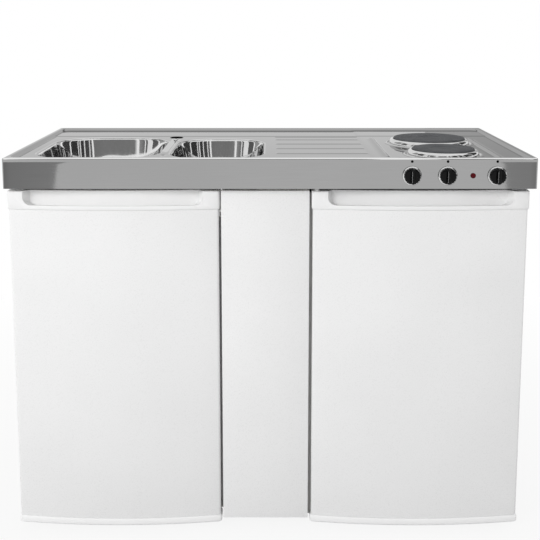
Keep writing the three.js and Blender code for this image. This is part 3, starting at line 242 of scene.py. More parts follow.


# the worktop's sheet gets a painted highlight, tone 232, where its mesh asks for it
satinSteel = metalSheet("satinSteel", 161, 165, 0.035, (14, 700, 700), 0.015, 5.0, 0.02, 0.015, 0.7, highlightTone=232)
polishedSteel = metalSheet("polishedSteel", 222, 232, 0.07, (300, 300, 30), 0.006, 8.0, 0.16, 0.02, 0.85,
                           satin=0.24)
chrome = metalSheet("chrome", 206, 220, 0.12, (60, 60, 60), 0.02, 26.0, 0.12, 0.03, 0.9)
galvanised = metalSheet("galvanised", 150, 182, 0.42, (90, 90, 90), 0.15, 30.0, 0.02, 0.1)
whiteEnamel = skinMaterial("whiteEnamel", 236, 239, 0.3, 420, 0.1, 4.0, Coat_Weight=0.3, Coat_Roughness=0.12)
whitePlastic = skinMaterial("whitePlastic", 240, 243, 0.38, 1500, 0.14, 7.0)
whiteBoard = skinMaterial("whiteBoard", (226, 225, 222), (229, 228, 225), 0.5, 2600, 0.25, 10.0)
cabinetPaint = skinMaterial("cabinetPaint", 230, 233, 0.4, 700, 0.2, 5.0)
blackPlastic = skinMaterial("blackPlastic", (4, 4, 5), (9, 9, 10), 0.2, 1400, 0.08, 40.0, Specular_IOR_Level=0.14)
markBlack = skinMaterial("markBlack", 2, 6, 0.6, 1400, 0.1, 40.0, Specular_IOR_Level=0.02)
blackPaint = skinMaterial("blackPaint", (26, 27, 28), (40, 41, 42), 0.45, 900, 0.3, 20.0)
paintedHinge = skinMaterial("paintedHinge", (214, 215, 216), (228, 229, 230), 0.35, 600, 0.2, 18.0, metallic=0.15)
# light grey of the knobs' pointer lines, which also stand for the highlight along each grip's left edge: a painted
# highlight
pointerHighlightPaint = skinMaterial("pointerHighlightPaint", 168, 182, 0.5, 1600, 0.2, 40.0)
greyRubber = skinMaterial("greyRubber", (182, 182, 180), (196, 196, 194), 0.75, 1800, 0.35, 30.0)
castIron = buildCastIron()
redLens = buildRedLens()
shelfGlass = buildShelfGlass()
print("finishes made")


# making pieces
def show(name, data):
    made = bpy.data.objects.new(name, data)
    bpy.context.scene.collection.objects.link(made)
    return made


def addPiece(name, mesh, material, node=None, body="unit", angle=35):
    # a visible piece; one that stands for a CAD node has that node's body, and the node is hidden
    mesh.shade_smooth()
    mesh.set_sharp_from_angle(angle=radians(angle))
    mesh.materials.clear()
    mesh.materials.append(material)
    piece = show(name, mesh)
    if node:
        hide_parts(node)
    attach(piece, bodyOf[node] if node else body)


def meshOf(made, name, outward=False):
    # ends a bmesh; outward turns the faces of closed bodies outwards
    if outward:
        bmesh.ops.recalc_face_normals(made, faces=made.faces)
    mesh = bpy.data.meshes.new(name)
    made.to_mesh(mesh)
    made.free()
    return mesh


def evaluated(holder, modifier):
    # the mesh that a modifier makes; its holder goes
    mesh = bpy.data.meshes.new_from_object(holder.evaluated_get(bpy.context.evaluated_depsgraph_get()))
    holder.modifiers.remove(modifier)
    bpy.data.objects.remove(holder)
    return mesh


def faceUp(made):
    # turns an open sheet so that it faces up
    made.normal_update()
    if sum(f.normal.z * f.calc_area() for f in made.faces) < 0:
        bmesh.ops.reverse_faces(made, faces=made.faces)


def closeSheet(mesh, thickness):
    # gives an open sheet its wall, inwards
    holder = show("sheet", mesh)
    wall = holder.modifiers.new("wall", "SOLIDIFY")
    wall.thickness = thickness / 1000
    wall.offset = -1
    wall.use_even_offset = True
    return evaluated(holder, wall)


def softened(node, width, segments):
    # a copy of a CAD node with its doubles merged, flat faces joined and sharp edges eased
    made = bmesh.new()
    made.from_mesh(nodes[node].data)
    bmesh.ops.remove_doubles(made, verts=made.verts, dist=2e-6)
    bmesh.ops.dissolve_limit(made, angle_limit=radians(0.4), verts=made.verts, edges=made.edges)
    sharp = [e for e in made.edges if len(e.link_faces) == 2 and e.calc_face_angle(0) > radians(35)]
    bmesh.ops.bevel(made, geom=sharp, offset=width / 1000, offset_type="OFFSET", segments=segments, profile=0.5,
                    affect="EDGES", clamp_overlap=True)
    return meshOf(made, node)


def dress(node, material, width, segments=2, angle=35):
    addPiece(node + "_finished", softened(node, width, segments), material, node, angle=angle)


def loft(made, rings, capped=True):
    # walls from each ring of vertices to the next, and the two ends closed
    for low, high in zip(rings, rings[1:]):
        for i in range(len(low)):
            j = (i + 1) % len(low)
            made.faces.new((low[i], low[j], high[j], high[i]))
    if capped:
        made.faces.new(rings[0])
        made.faces.new(rings[-1])


def turnedMesh(profile, centre, segments=96, facing=False):
    # a closed body of revolution through (radius, height) points, in millimetres, about a centre; facing turns its
    # axis to point out of the front
    made = bmesh.new()
    x, depth, z = centre
    closed = profile[0] == profile[-1]
    rings = []
    for radius, height in profile[:-1] if closed else profile:
        spots = circle(0, 0, radius, segments if radius else 1)
        rings.append([made.verts.new(place(x + px, depth - height, z + py) if facing
                                     else place(x + px, depth + py, z + height)) for px, py in spots])
    for low, high in zip(rings, rings[1:] + rings[:closed]):
        for i in range(segments):
            j = (i + 1) % segments
            corners = (low[i % len(low)], low[j % len(low)], high[j % len(high)], high[i % len(high)])
            made.faces.new(list(dict.fromkeys(corners)))  # the middle of an end counts once
    return meshOf(made, "turned", True)


def boxMesh(boxes, width=0.5):
    # closed boxes between pairs of corners in millimetres, their edges eased
    made = bmesh.new()
    for low, high in boxes:
        for v in bmesh.ops.create_cube(made, size=1)["verts"]:
            v.co = Vector(place(*(low[k] if v.co[k] < 0 else high[k] for k in range(3))))
    if width:
        bmesh.ops.bevel(made, geom=made.edges[:], offset=width / 1000, segments=2, profile=0.5, affect="EDGES")
    return meshOf(made, "box")


def roundedPath(cx, cy, width, length, radius, straight=12, steps=14):
    # a rounded rectangle, anticlockwise from above, with even points along its straights
    points = []
    corners = [(1, -1), (1, 1), (-1, 1), (-1, -1)]
    centres = [(cx + sx * (width / 2 - radius), cy + sy * (length / 2 - radius)) for sx, sy in corners]
    for index, (x, y) in enumerate(centres):
        for i in range(steps + 1):
            angle = pi / 2 * (index - 1 + i / steps)
            points.append((x + radius * cos(angle), y + radius * sin(angle)))
        (startX, startY), (nextX, nextY) = points[-1], centres[(index + 1) % 4]
        angle = pi / 2 * index
        runX, runY = nextX + radius * cos(angle) - startX, nextY + radius * sin(angle) - startY
        points += [(startX + runX * i / straight, startY + runY * i / straight) for i in range(1, straight)]
    return points


def insideBy(x, y, cx, cy, width, length, radius):
    # how far a point lies inside a rounded rectangle; below zero outside
    qx, qy = abs(x - cx) - width / 2 + radius, abs(y - cy) - length / 2 + radius
    return radius - hypot(max(qx, 0), max(qy, 0)) - min(max(qx, qy), 0)


def smooth(t):
    t = min(max(t, 0), 1)
    return t * t * (3 - 2 * t)


def ridge(across, along, half, run, height):
    # a rounded ridge: across is the distance from its line, along the distance from its nearer end
    if across >= half or along <= 0:
        return 0
    return height * cos(across / half * pi / 2) ** 2 * smooth(along / run)


def rolled(away, width, drop):
    # how far an edge that rolls down over a width has dropped, at a distance from its end
    return drop * (1 - sqrt(max(0, 1 - ((width - away) / width) ** 2))) if away < width else 0


# worktop
worktop = {
    "width": 1200, "depth": 600, "top": 900, "apron": (886, 872, 858, 844, 830), "edge": 4, "edgeCorner": 2,
    "land": (8, 9), "rim": 12, "recess": 7, "slope": 6,
    "slopeShares": (0, 0.12, 0.3, 0.5, 0.7, 0.88, 1), "corner": 18, "sheet": 2,
    "roll": 7, "rollDrop": 4, "rollSteps": (9, 7, 5.6, 4.2, 3, 2, 1.2, 0.6, 0.2, 0),
    "ribs": [124, 209, 294, 379, 434], "ribFrom": 12, "ribTo": 235, "ribHalf": 8, "ribHeight": 1.5, "ribEnd": 7,
    "dams": [(268, 22, 406), (523, 17, 392)], "damHalf": 8, "damHeight": 4.5,  # x, from, to
    "sideStep": (232, 6, 0.8), "rearStep": (446, 7, 1.2),  # start, run, rise
    "channel": (-250, 165, 402, 9, 4.2),  # x, from, to, half width, drop
    "dimple": (-250, 96, 8, 22, 2.4),  # middle, two radii, drop
    "collar": (0.5, 11, 2.4), "collarSteps": (32, 30.5, 29, 27, 25, 23, 21, 19.5, 0),
    "tapHole": (-250, 427, 17.5), "holeRoll": 1.2, "holeSteps": (4, 2, 1.2, 0.8, 0.4, 0.1, 0),
    "grid": 9, "gridEdge": 24, "clearOfBowl": 12, "clearOfHole": 3,
    "gridClose": (-7, -5.2, -3.5, -1.8, 0, 1.8, 3.5, 5.2, 7),
    "bush": [(16.6, 868), (17.4, 868), (17.4, 888.6), (22, 888.6), (22, 890.6), (17.4, 890.6), (17.4, 893.4),
             (16.9, 893.8), (16.6, 893.4), (16.6, 868)],
}
bowls = {
    "large": {"x": -409, "depth": 241.5, "width": 290, "length": 383, "corner": 100, "drop": 150},
    "small": {"x": -126, "depth": 226.5, "width": 220, "length": 363, "corner": 90, "drop": 130},
}
plates = {
    "rear": {"x": 405, "depth": 303, "radius": 90},
    "front": {"x": 405, "depth": 101, "radius": 72.5},
}
plateForm = {"top": 910, "dimple": 29, "holeInset": 8, "ringWidth": 11, "ringFoot": 893.3, "sheetUnder": 890.6}


def bowlPath(bowl, inset, straight, steps):
    corner = bowl["corner"] - (0.7 * inset if inset > 0 else inset)
    return roundedPath(bowl["x"], bowl["depth"], bowl["width"] - 2 * inset, bowl["length"] - 2 * inset, corner,
                       straight, steps)


def fromBowls(x, y):
    # distance outside the nearer bowl's mouth
    return min(-insideBy(x, y, b["x"], b["depth"], b["width"], b["length"], b["corner"]) for b in bowls.values())


def fromPlates(x, y):
    # distance outside the nearer spill ring
    return min(hypot(x - p["x"], y - p["depth"]) - p["radius"] - plateForm["ringWidth"] for p in plates.values())


def channelReach(x, y):
    # distance from the middle line of the overflow channel, in half widths
    middle, front, rear, half, _ = worktop["channel"]
    return hypot(x - middle, max(front - y, y - rear, 0)) / half


def worktopHeight(x, y):
    s = worktop
    inRim = insideBy(x, y, 0, s["depth"] / 2, s["width"] - 2 * s["rim"], s["depth"] - 2 * s["rim"], s["corner"])
    z = s["top"] - s["recess"] * smooth(inRim / s["slope"])
    if inRim < s["slope"]:
        return z
    for rib in s["ribs"]:
        z += ridge(abs(y - rib), min(x - s["ribFrom"], s["ribTo"] - x), s["ribHalf"], s["ribHalf"], s["ribHeight"])
    for damX, front, rear in s["dams"]:
        z += ridge(abs(x - damX), min(y - front, rear - y), s["damHalf"], 2 * s["damHalf"], s["damHeight"])
    for along, (start, run, rise) in ((x, s["sideStep"]), (y, s["rearStep"])):
        z += rise * smooth((along - start) / run)
    z -= ridge(channelReach(x, y), 1, 1, 1, s["channel"][-1])
    x0, y0, radiusX, radiusY, drop = s["dimple"]
    z -= ridge(hypot((x - x0) / radiusX, (y - y0) / radiusY), 1, 1, 1, drop)
    z -= rolled(fromBowls(x, y), s["roll"], s["rollDrop"])
    start, width, rise = s["collar"]
    z += rise * sin(pi * min(max((fromPlates(x, y) - start) / width, 0), 1)) ** 2
    holeX, holeY, radius = s["tapHole"]
    return z - rolled(hypot(x - holeX, y - holeY) - radius, s["holeRoll"], s["holeRoll"])


def worktopPaintedHighlight(x, y):
    # painted highlight: how much lighter the sheet's colour is, on the rolls of the bowls, in the overflow channel and
    # on the plates' collars
    if fromPlates(x, y) < worktop["collar"][1] - 2:
        return 0.7
    if channelReach(x, y) < 1:
        return 0.9
    return 0.6 if fromBowls(x, y) < worktop["roll"] - 2 else 0


def gridLines(start, end, lines):
    # even grid lines, closer where a pressed line runs
    step = worktop["grid"]
    close = sorted({round(line + o, 3) for line in lines for o in worktop["gridClose"] if start < line + o < end})
    count = round((end - start) / step)
    even = [start + (end - start) * i / count for i in range(count + 1)]
    return sorted([v for v in even if all(abs(v - c) > step * 0.35 for c in close)] + close)


def buildWorktop():
    s = worktop

    def rimPath(inset, radius):
        return roundedPath(0, s["depth"] / 2, s["width"] - 2 * inset, s["depth"] - 2 * inset, radius, 90, 10)

    outer = rimPath(s["edge"], s["edgeCorner"])
    loops = [outer, rimPath(*s["land"])]
    loops += [rimPath(s["rim"] + s["slope"] * share, max(s["corner"] - s["slope"] * share, 6))
              for share in s["slopeShares"]]
    loops += [bowlPath(bowl, -away, 24, 16) for bowl in bowls.values() for away in s["rollSteps"]]
    rounds = [(*s["tapHole"], s["holeSteps"], 48)]
    rounds += [(p["x"], p["depth"], p["radius"] - plateForm["holeInset"], s["collarSteps"], 96)
               for p in plates.values()]
    loops += [circle(x, y, radius + away, count) for x, y, radius, steps, count in rounds for away in steps]
    x0, front, rear, *_ = s["channel"]
    edge = s["gridEdge"]
    xs = gridLines(edge - s["width"] / 2, s["width"] / 2 - edge,
                   [dam[0] for dam in s["dams"]] + [s["ribFrom"] + s["ribEnd"], s["ribTo"] - s["ribEnd"], x0])
    ys = gridLines(edge, s["depth"] - edge, s["ribs"] + [s["rearStep"][0] + s["rearStep"][1] / 2])
    grid = [(x, y) for x in xs for y in ys if fromBowls(x, y) > s["clearOfBowl"]
            and all(hypot(x - hx, y - hy) > r + steps[0] + s["clearOfHole"] for hx, hy, r, steps, _ in rounds)]
    grid += [(x0 + dx, front + dy) for dx in range(-8, 9, 2) for dy in range(-6, rear - front + 7, 6)]
    flat, edges = [], []
    for loop in loops:
        edges += [(len(flat) + i, len(flat) + (i + 1) % len(loop)) for i in range(len(loop))]
        flat += loop
    verts, _, faces, *_ = delaunay_2d_cdt([Vector(p) for p in flat + grid], edges, [], 0, 0.002)

    def onSheet(x, y):
        return fromBowls(x, y) >= 0 and all(hypot(x - hx, y - hy) >= r - 0.01 for hx, hy, r, _, _ in rounds)

    made = bmesh.new()
    # each point's painted highlight, a lighter colour for the steel
    paintedHighlight = made.verts.layers.float.new("paintedHighlight")
    points = []
    for v in verts:
        points.append(made.verts.new(place(v.x, v.y, worktopHeight(v.x, v.y))))
        points[-1][paintedHighlight] = worktopPaintedHighlight(v.x, v.y)
    for face in faces:
        if onSheet(sum(verts[i].x for i in face) / 3, sum(verts[i].y for i in face) / 3):
            made.faces.new([points[i] for i in face])
    faceUp(made)
    # the apron: the edge rolls over and runs down; the edge and the roll get a painted highlight, the apron none
    lookup = {(round(v.co.x * 1e5), round(v.co.y * 1e5)): v for v in made.verts}
    ring = [lookup[tuple(round(c * 1e5) for c in place(*p, 0)[:2])] for p in outer]
    for vertex in ring:
        vertex[paintedHighlight] = 0.8
    turns = [(s["edge"] * (1 - sin(a)), s["top"] - s["edge"] * (1 - cos(a)))
             for a in (radians(d) for d in (18, 36, 54, 72, 90))]
    for inset, z in turns + [(0, z) for z in s["apron"]]:
        below = [made.verts.new(place(x, y, z)) for x, y in rimPath(inset, s["edgeCorner"] + (s["edge"] - inset) / 2)]
        for vertex in below:
            vertex[paintedHighlight] = 1 if inset > 0.1 else 0
        for i in range(len(ring)):
            j = (i + 1) % len(ring)
            made.faces.new((ring[j], ring[i], below[i], below[j]))
        ring = below
    bmesh.ops.delete(made, geom=[v for v in made.verts if not v.link_faces], context="VERTS")
    addPiece("worktop_pressed", closeSheet(meshOf(made, "worktop"), s["sheet"]), satinSteel, "worktop", angle=50)
    addPiece("tap_hole_bush", turnedMesh(s["bush"], (*s["tapHole"][:2], 0), 48), blackPlastic, angle=40)


buildWorktop()
print("worktop pressed")


# sink bowls, their wastes are dressed further on
bowlForm = {
    "wall": 1.5, "seat": 890.7, "bright": 62, "wasteDepth": 290, "wasteEdge": 33,
    "flange": [(-12, 1.4), (-3, 1.4), (-0.5, 1.5)],  # inset, depth under the seat
    "levels": [(2, 0.05), (7, 0.2), (12, 0.4), (14.5, 0.58), (17, 0.76), (21, 0.87), (29, 0.945), (38, 0.982),
               (48, 1)],  # inset, share of the drop
    "floorShares": (0.25, 0.5, 0.72, 0.88, 1.0), "floorFall": 0.6,
    "wasteRings": ((30, 0.75), (27, 1.4), (24, 1.5)),  # radius, depth under the floor
}


def curveThrough(levels, steps):
    # more levels between the given ones, on a smooth curve
    fine = []
    padded = [levels[0], *levels, levels[-1]]
    for group in zip(padded, padded[1:], padded[2:], padded[3:]):
        for t in (step / steps for step in range(steps)):
            fine.append(tuple(0.5 * (2 * p + (q - o) * t + (2 * o - 5 * p + 4 * q - r) * t * t
                                     + (3 * p - o - 3 * q + r) * t ** 3) for o, p, q, r in zip(*group)))
    return [*fine, levels[-1]]


def buildBowl(name, bowl):
    s = bowlForm
    levels = [(0.0, s["seat"] - 2)] + [(inset, s["seat"] - share * bowl["drop"]) for inset, share in s["levels"]]
    floorInset, floor = levels[-1]
    profile = [(inset, s["seat"] - depth) for inset, depth in s["flange"]] + curveThrough(levels, 4)
    outlines = [(bowlPath(bowl, inset, 10, 12), z) for inset, z in profile]
    last = bowlPath(bowl, floorInset, 10, 12)
    turns = [atan2(y - s["wasteDepth"], x - bowl["x"]) for x, y in last]

    def around(radius):
        return [(bowl["x"] + radius * cos(turn), s["wasteDepth"] + radius * sin(turn)) for turn in turns]

    # the floor falls a little towards the waste, where its rings turn round
    ends = list(zip(last, around(s["wasteEdge"])))
    for share in s["floorShares"]:
        path = [(x + (ex - x) * share, y + (ey - y) * share) for (x, y), (ex, ey) in ends]
        outlines.append((path, floor - s["floorFall"] * share))
    outlines += [(around(radius), floor - depth) for radius, depth in s["wasteRings"]]
    made = bmesh.new()
    loft(made, [[made.verts.new(place(x, y, z)) for x, y in path] for path, z in outlines], False)
    faceUp(made)
    satin = made.verts.layers.float.new("satin")
    for vertex in made.verts:
        low = s["seat"] - vertex.co.z * 1000 - s["bright"]
        vertex[satin] = smooth(low / (bowl["drop"] - s["bright"]) * 1.6)
    sheet = closeSheet(meshOf(made, "bowl"), s["wall"])
    addPiece(f"bowl_{name}_drawn", sheet, polishedSteel, "sink_bowl_" + name, angle=50)


for name, bowl in bowls.items():
    buildBowl(name, bowl)
print("bowls drawn")


# hotplates, their clamp bars and their spill rings
def buildHotplate(name, plate):
    node = "hotplate_" + name
    radius, top, dimple, foot = plate["radius"], plateForm["top"], plateForm["dimple"], plateForm["ringFoot"]
    low = boxOf(node)[0].z
    centre = (plate["x"], plate["depth"], 0)
    profile = [(0, low + 10), (radius - 11, low + 10), (radius - 9, low + 13), (radius - 9, foot + 0.1),
               (radius - 1, foot + 0.1), (radius, foot + 1.1), (radius, top - 3.4), (radius - 0.3, top - 2),
               (radius - 1.1, top - 0.8), (radius - 2.4, top - 0.1), (radius - 4, top)]
    profile += [(radius * share, top) for share in (0.85, 0.7, 0.55)]
    profile += [(dimple + 4, top), (dimple + 1.5, top - 0.4), (dimple, top - 1.1), (dimple - 3, top - 1.5),
                (14, top - 1.5), (0, top - 1.5)]
    mesh = turnedMesh(profile, centre, 128)
    fromMiddle = mesh.attributes.new("fromMiddle", "FLOAT", "POINT")
    middle = Vector(place(*centre)).xy
    for i, vertex in enumerate(mesh.vertices):
        fromMiddle.data[i].value = (vertex.co.xy - middle).length
    addPiece(f"hotplate_{name}_turned", mesh, castIron, node, angle=30)

    reach = radius + 14
    bars = [((plate["x"] + x0, plate["depth"] - 15, low + 8), (plate["x"] + x1, plate["depth"] + 15, z))
            for x0, x1, z in ((-reach, reach, low + 10), (-reach, 2 - reach, plateForm["sheetUnder"]),
                              (reach - 2, reach, plateForm["sheetUnder"]))]
    addPiece(f"clamp_bar_{name}", boxMesh(bars, 0), galvanised)
    stud = [(0, low), (4, low), (4, low + 3), (6.5, low + 3), (6.5, low + 8.2), (0, low + 8.2)]
    addPiece(f"clamp_stud_{name}", turnedMesh(stud, centre, 24), galvanised)

    inner, outer = radius + 0.3, radius + plateForm["ringWidth"]
    shape = [(inner, foot), (outer, foot), (outer, foot + 0.9)]
    for step in range(15):  # a quarter round from its foot up to the plate
        turn = radians(90 * step / 14)
        shape.append((radius + 3 + (outer - radius - 3.4) * cos(turn), foot + 1.1 + 12.1 * sin(turn)))
    shape += [(radius + 2.4, top - 3.55), (radius + 1.4, top - 3.6), (radius + 0.6, top - 4.0), (inner, top - 4.8),
              (inner, foot)]
    addPiece(f"spill_ring_{name}_spun", turnedMesh(shape, centre, 128), chrome, "spill_ring_" + name, angle=60)


for name, plate in plates.items():
    buildHotplate(name, plate)
print("hotplates turned")


# knobs, bezels and lamp on the apron
control = {
    "z": 860, "radius": 20, "flutes": 18, "fluteDepth": 0.9, "fluteSteps": 8,
    # reach out of the front, growth of the radius, share of the flutes' depth
    "skirt": [(3.1, -2.1, 1), (3.4, -1.7, 1), (10.8, -1.5, 1), (12.8, -1.8, 0.9), (14.2, -2.8, 0.6),
              (15.0, -4.6, 0.2), (15.4, -8, 0), (15.4, -15, 0)],
    # reach, half width, length
    "grip": [(5.0, 6.6, 35.6), (14.0, 5.7, 35.4), (18.0, 5.0, 35.0), (22.0, 4.2, 34.0), (24.0, 3.3, 32.6),
             (24.8, 2.2, 30.6), (25.0, 1.0, 28.6)],
    "spindle": (3, (-6.9, 3.6)),
    # the pointer line, partly a painted highlight of the grip's left edge
    "pointer_highlight": ((-2.65, -24.75, -13), (-1.95, -23.9, 13)),  # a box about the knob's middle
    "trim": [(18.9, 2.45), (21.5, 2.45), (21.5, 2.9), (21.2, 3.3), (19.4, 5.3), (19.1, 5.4), (18.9, 5.2),
             (18.9, 2.45)],
    "dotRise": 32, "dot": [(0, 0.02), (3, 0.02), (3, 0.15), (2.6, 0.25), (0, 0.28)],
    "lamp": [(0, -22), (5, -22), (5, 0.3), (6, 0.3), (6, 1.6), (5.7, 2.4), (4.8, 3.2), (3.2, 3.8), (0, 4)],
}
controls = [("front_plate", "switch_front_plate", "knob_front_plate"),
            ("rear_plate", "switch_rear_plate", "knob_rear_plate"), ("timer", "run_timer", "knob_timer")]


def knobMesh(x):
    s = control
    made = bmesh.new()

    def ring(path, reach):
        return [made.verts.new(place(x + px, -reach, s["z"] + pz)) for px, pz in path]

    skirt = []
    for reach, grow, depth in s["skirt"]:
        path = []
        for i, (px, pz) in enumerate(circle(0, 0, 1, s["flutes"] * s["fluteSteps"])):
            flute = 0.5 + 0.5 * cos(2 * pi * i / s["fluteSteps"])
            radius = s["radius"] + grow - s["fluteDepth"] * depth * flute ** 2
            path.append((radius * px, radius * pz))
        skirt.append(ring(path, reach))
    loft(made, skirt)
    loft(made, [ring(roundedPath(0, 0, 2 * half, length, min(half * 0.92, 5), 4, 6), reach)
                for reach, half, length in s["grip"]])
    radius, ends = s["spindle"]
    loft(made, [ring(circle(0, 0, radius, 24), reach) for reach in ends])
    return meshOf(made, "knob", True)


def middleX(node):
    low, high = boxOf(node)
    return (low.x + high.x) / 2


for label, switch, knob in controls:
    x, z = middleX(knob), control["z"]
    addPiece(f"knob_{label}_moulded", knobMesh(x), blackPlastic, knob, angle=40)
    dress(switch, chrome, 0.4, 3, 30)
    # a pointer line on the grip's crown, its light grey a painted highlight of the grip's left edge
    line = boxMesh([[(x + px, depth, z + pz) for px, depth, pz in control["pointer_highlight"]]], 0.15)
    addPiece(f"pointer_{label}", line, pointerHighlightPaint, body=bodyOf[knob])
    addPiece(f"bezel_rim_{label}", turnedMesh(control["trim"], (x, 0, z), 64, True), chrome, angle=50)
    addPiece(f"dot_{label}", turnedMesh(control["dot"], (x, 0, z + control["dotRise"]), 32, True), markBlack)
lamp = turnedMesh(control["lamp"], (middleX("pilot_lamp"), 0, control["z"]), 48, True)
addPiece("pilot_lamp_lens", lamp, redLens, "pilot_lamp", angle=30)
print("controls made")


# everything else keeps its CAD form, with eased edges and its finish: finish, width of the easing, nodes
dressing = [
    (whiteEnamel, 0.5, "cupboard_door_skin fridge_door_skin"),
    (whitePlastic, 1.0, "cupboard_door_top_cap fridge_door_top_cap"),
    (whitePlastic, 0.8, "cupboard_door_bottom_cap fridge_door_bottom_cap"),
    (whiteEnamel, 0.8, "filler_panel"),
    (whiteBoard, 0.5, "cupboard_door_board cupboard_side cupboard_divider cupboard_floor cupboard_front_rail "
                      "cupboard_back_rail"),
    (cabinetPaint, 1.5, "fridge_cabinet"),
    (whitePlastic, 0.6, "fridge_liner"),
    (whitePlastic, 2.5, "fridge_door_liner"),
    (greyRubber, 2.0, "fridge_door_gasket"),
    (whitePlastic, 0.8, "door_rack_upper door_rack_lower"),
    (shelfGlass, 0.6, "glass_shelf_upper glass_shelf_lower"),
    (cabinetPaint, 0.4, "ice_box"),
    (whitePlastic, 0.8, "ice_box_flap"),
    (whitePlastic, 2.0, "thermostat_box"),
    (whitePlastic, 0.5, "thermostat_knob"),
    (blackPaint, 1.0, "compressor"),
    (galvanised, 0.3, "hob_cradle"),
    (blackPlastic, 1.0, "terminal_box"),
    (paintedHinge, 0.4, "cupboard_hinge_top cupboard_hinge_bottom fridge_hinge_top fridge_hinge_bottom"),
    (whitePlastic, 0.6, "bottle_trap"),
    (chrome, 0.3, "waste_large waste_small"),
    (blackPlastic, 0.5, "plug_large plug_small fridge_foot_left fridge_foot_right cupboard_foot_1 cupboard_foot_2 "
                        "cupboard_foot_3 cupboard_foot_4"),
]
for material, width, group in dressing:
    for node in group.split():
        dress(node, material, width)
print("other nodes dressed")


# small door details: rounded lower corners of the grips, plugs in the spare hinge holes, the strip behind the gap; the
# cupboard door's grey disc and the grey strip are painted shade
grip = {"bulge": 18, "inset": 34.2, "slant": 20 / 38, "radius": 18, "backRadius": 8, "foot": 790, "lip": 7.4,
        "groove": 784.1, "back": 22.3}
spareHole = {
    "inset": 12, "depth": 24,
    "plug": [(0, 0.1), (5.4, 0.1), (5.4, 3.2), (4.6, 4.7), (2.8, 5.4), (0, 5.6)],
    # the rim: a grey rubber disc whose grey stands for the shade in the hole, painted shade
    "rim": [(0, 0.1), (7, 0.1), (7, 0.7), (6.2, 1.1), (5.4, 0.8), (0, 0.5)],
}
# a grey strip behind the gap, there for the gap's shade: painted shade
gapShadeStrip = ((90.1, 38, 30), (97.4, 42, 815))


def buildGripCorners(label):
    # fills the two lower corners of the grip with a round, back to the grip's rear wall
    s = grip
    low, high = boxOf(label + "_skin")
    middle, width = (low.x + high.x) / 2, high.x - low.x
    front = boxOf(label + "_top_cap")[0].y
    made = bmesh.new()
    for side in (-1, 1):
        for near, far, foot in ((0, s["lip"], s["foot"] - 0.5), (s["lip"] - 0.1, s["back"], s["groove"])):
            rows = []
            for back in (near, far):
                radius = s["radius"] + (s["backRadius"] - s["radius"]) * back / s["back"]
                corner = middle + side * (width / 2 - s["inset"] - s["slant"] * back)
                arc = [(corner - side * radius * (1 - sin(turn)), s["foot"] + radius * (1 - cos(turn)))
                       for turn in (pi / 2 * step / 14 for step in range(15))]
                outline = [(corner + side, foot), (arc[0][0], foot), *arc, (corner + side, arc[-1][1])]
                # the front face is bowed, so each point stands back by the bow
                rows.append([made.verts.new(place(x, front + s["bulge"] * (2 * (x - middle) / width) ** 2 + back, z))
                             for x, z in outline])
            loft(made, rows)
    addPiece(label + "_grip_corners", meshOf(made, "corners", True), whitePlastic, body=label)


for label in ("cupboard_door", "fridge_door"):
    buildGripCorners(label)
# the cupboard door's grey disc stands for the spare hinge hole's shade: painted shade
for label, side, part, material in (("fridge_door", 0, "plug", whitePlastic), ("cupboard_door", 1, "rim", greyRubber)):
    cap = boxOf(label + "_top_cap")
    x = cap[side].x + (1 - 2 * side) * spareHole["inset"]
    cover = turnedMesh(spareHole[part], (x, spareHole["depth"], cap[1].z), 32)
    addPiece(f"{label}_hole_{part}", cover, material, body=label, angle=40)
# the strip's grey is painted shade in the gap
addPiece("gap_shade_strip", boxMesh([gapShadeStrip]), greyRubber)
print("door details made")


# repeated pieces, each laid out by its own node tree
def startRepeat(name, inputs):
    return startTree(name, "GeometryNodeTree", {"Geometry": "Geometry", **inputs, "Finish": "Material"},
                     {"Geometry": "Geometry"})


def scaled(tree, source, factor):
    return calc(tree, "MULTIPLY", source, factor)


def vector(tree, x=0.0, y=0.0, z=0.0):
    return addNode(tree, "ShaderNodeCombineXYZ", {"X": x, "Y": y, "Z": z})[0]


def cylinder(tree, vertices, radius, depth):
    return addNode(tree, "GeometryNodeMeshCylinder", {"Vertices": vertices, "Radius": radius, "Depth": depth})[0]


def onPoints(tree, points, shape, **more):
    return addNode(tree, "GeometryNodeInstanceOnPoints", {"Points": points, "Instance": shape, **more})[0]


def realised(tree, instances):
    return addNode(tree, "GeometryNodeRealizeInstances", {0: instances})[0]


def cutFrom(tree, solid, cutters):
    given = {"Mesh 1": solid, "Mesh 2": cutters}
    return addNode(tree, "GeometryNodeMeshBoolean", given, operation="DIFFERENCE", solver="EXACT")[0]


def endRepeat(tree, given, out, shape, **more):
    # the shape on every given point, as real geometry with its finish, because instances are lost on export
    real = realised(tree, onPoints(tree, given["Geometry"], shape, **more))
    finished = addNode(tree, "GeometryNodeSetMaterial", {"Geometry": real, "Material": given["Finish"]})
    tree.links.new(finished[0], out[0])
    return tree


def runRepeat(name, tree, spots, values, material, body="unit", angle=35):
    # spots: ((x, depth, z), the way they face)
    points = bpy.data.meshes.new("spots")
    points.from_pydata([place(*spot) for spot, _ in spots], [], [])
    facing = points.attributes.new("facing", "FLOAT_VECTOR", "POINT")
    for i, (_, way) in enumerate(spots):
        facing.data[i].vector = way
    holder = show("layout", points)
    layout = holder.modifiers.new("layout", "NODES")
    layout.node_group = tree
    values = {**values, "Finish": material}
    for item in tree.interface.items_tree:
        if item.in_out == "INPUT" and item.name in values:
            layout[item.identifier] = values[item.name]
    addPiece(name, evaluated(holder, layout), material, body=body, angle=angle)


def buildWireTree():
    # a row of upright wires from every point, side by side along X
    tree, given, out = startRepeat(
        "uprightWires", {"Count": "Int", "Step": "Float", "Radius": "Float", "Length": "Float"})
    row = addNode(tree, "GeometryNodeMeshLine", {"Count": given["Count"], "Offset": vector(tree, given["Step"])})[0]
    wires = onPoints(tree, row, cylinder(tree, 6, given["Radius"], given["Length"]))
    return endRepeat(tree, given, out, wires)


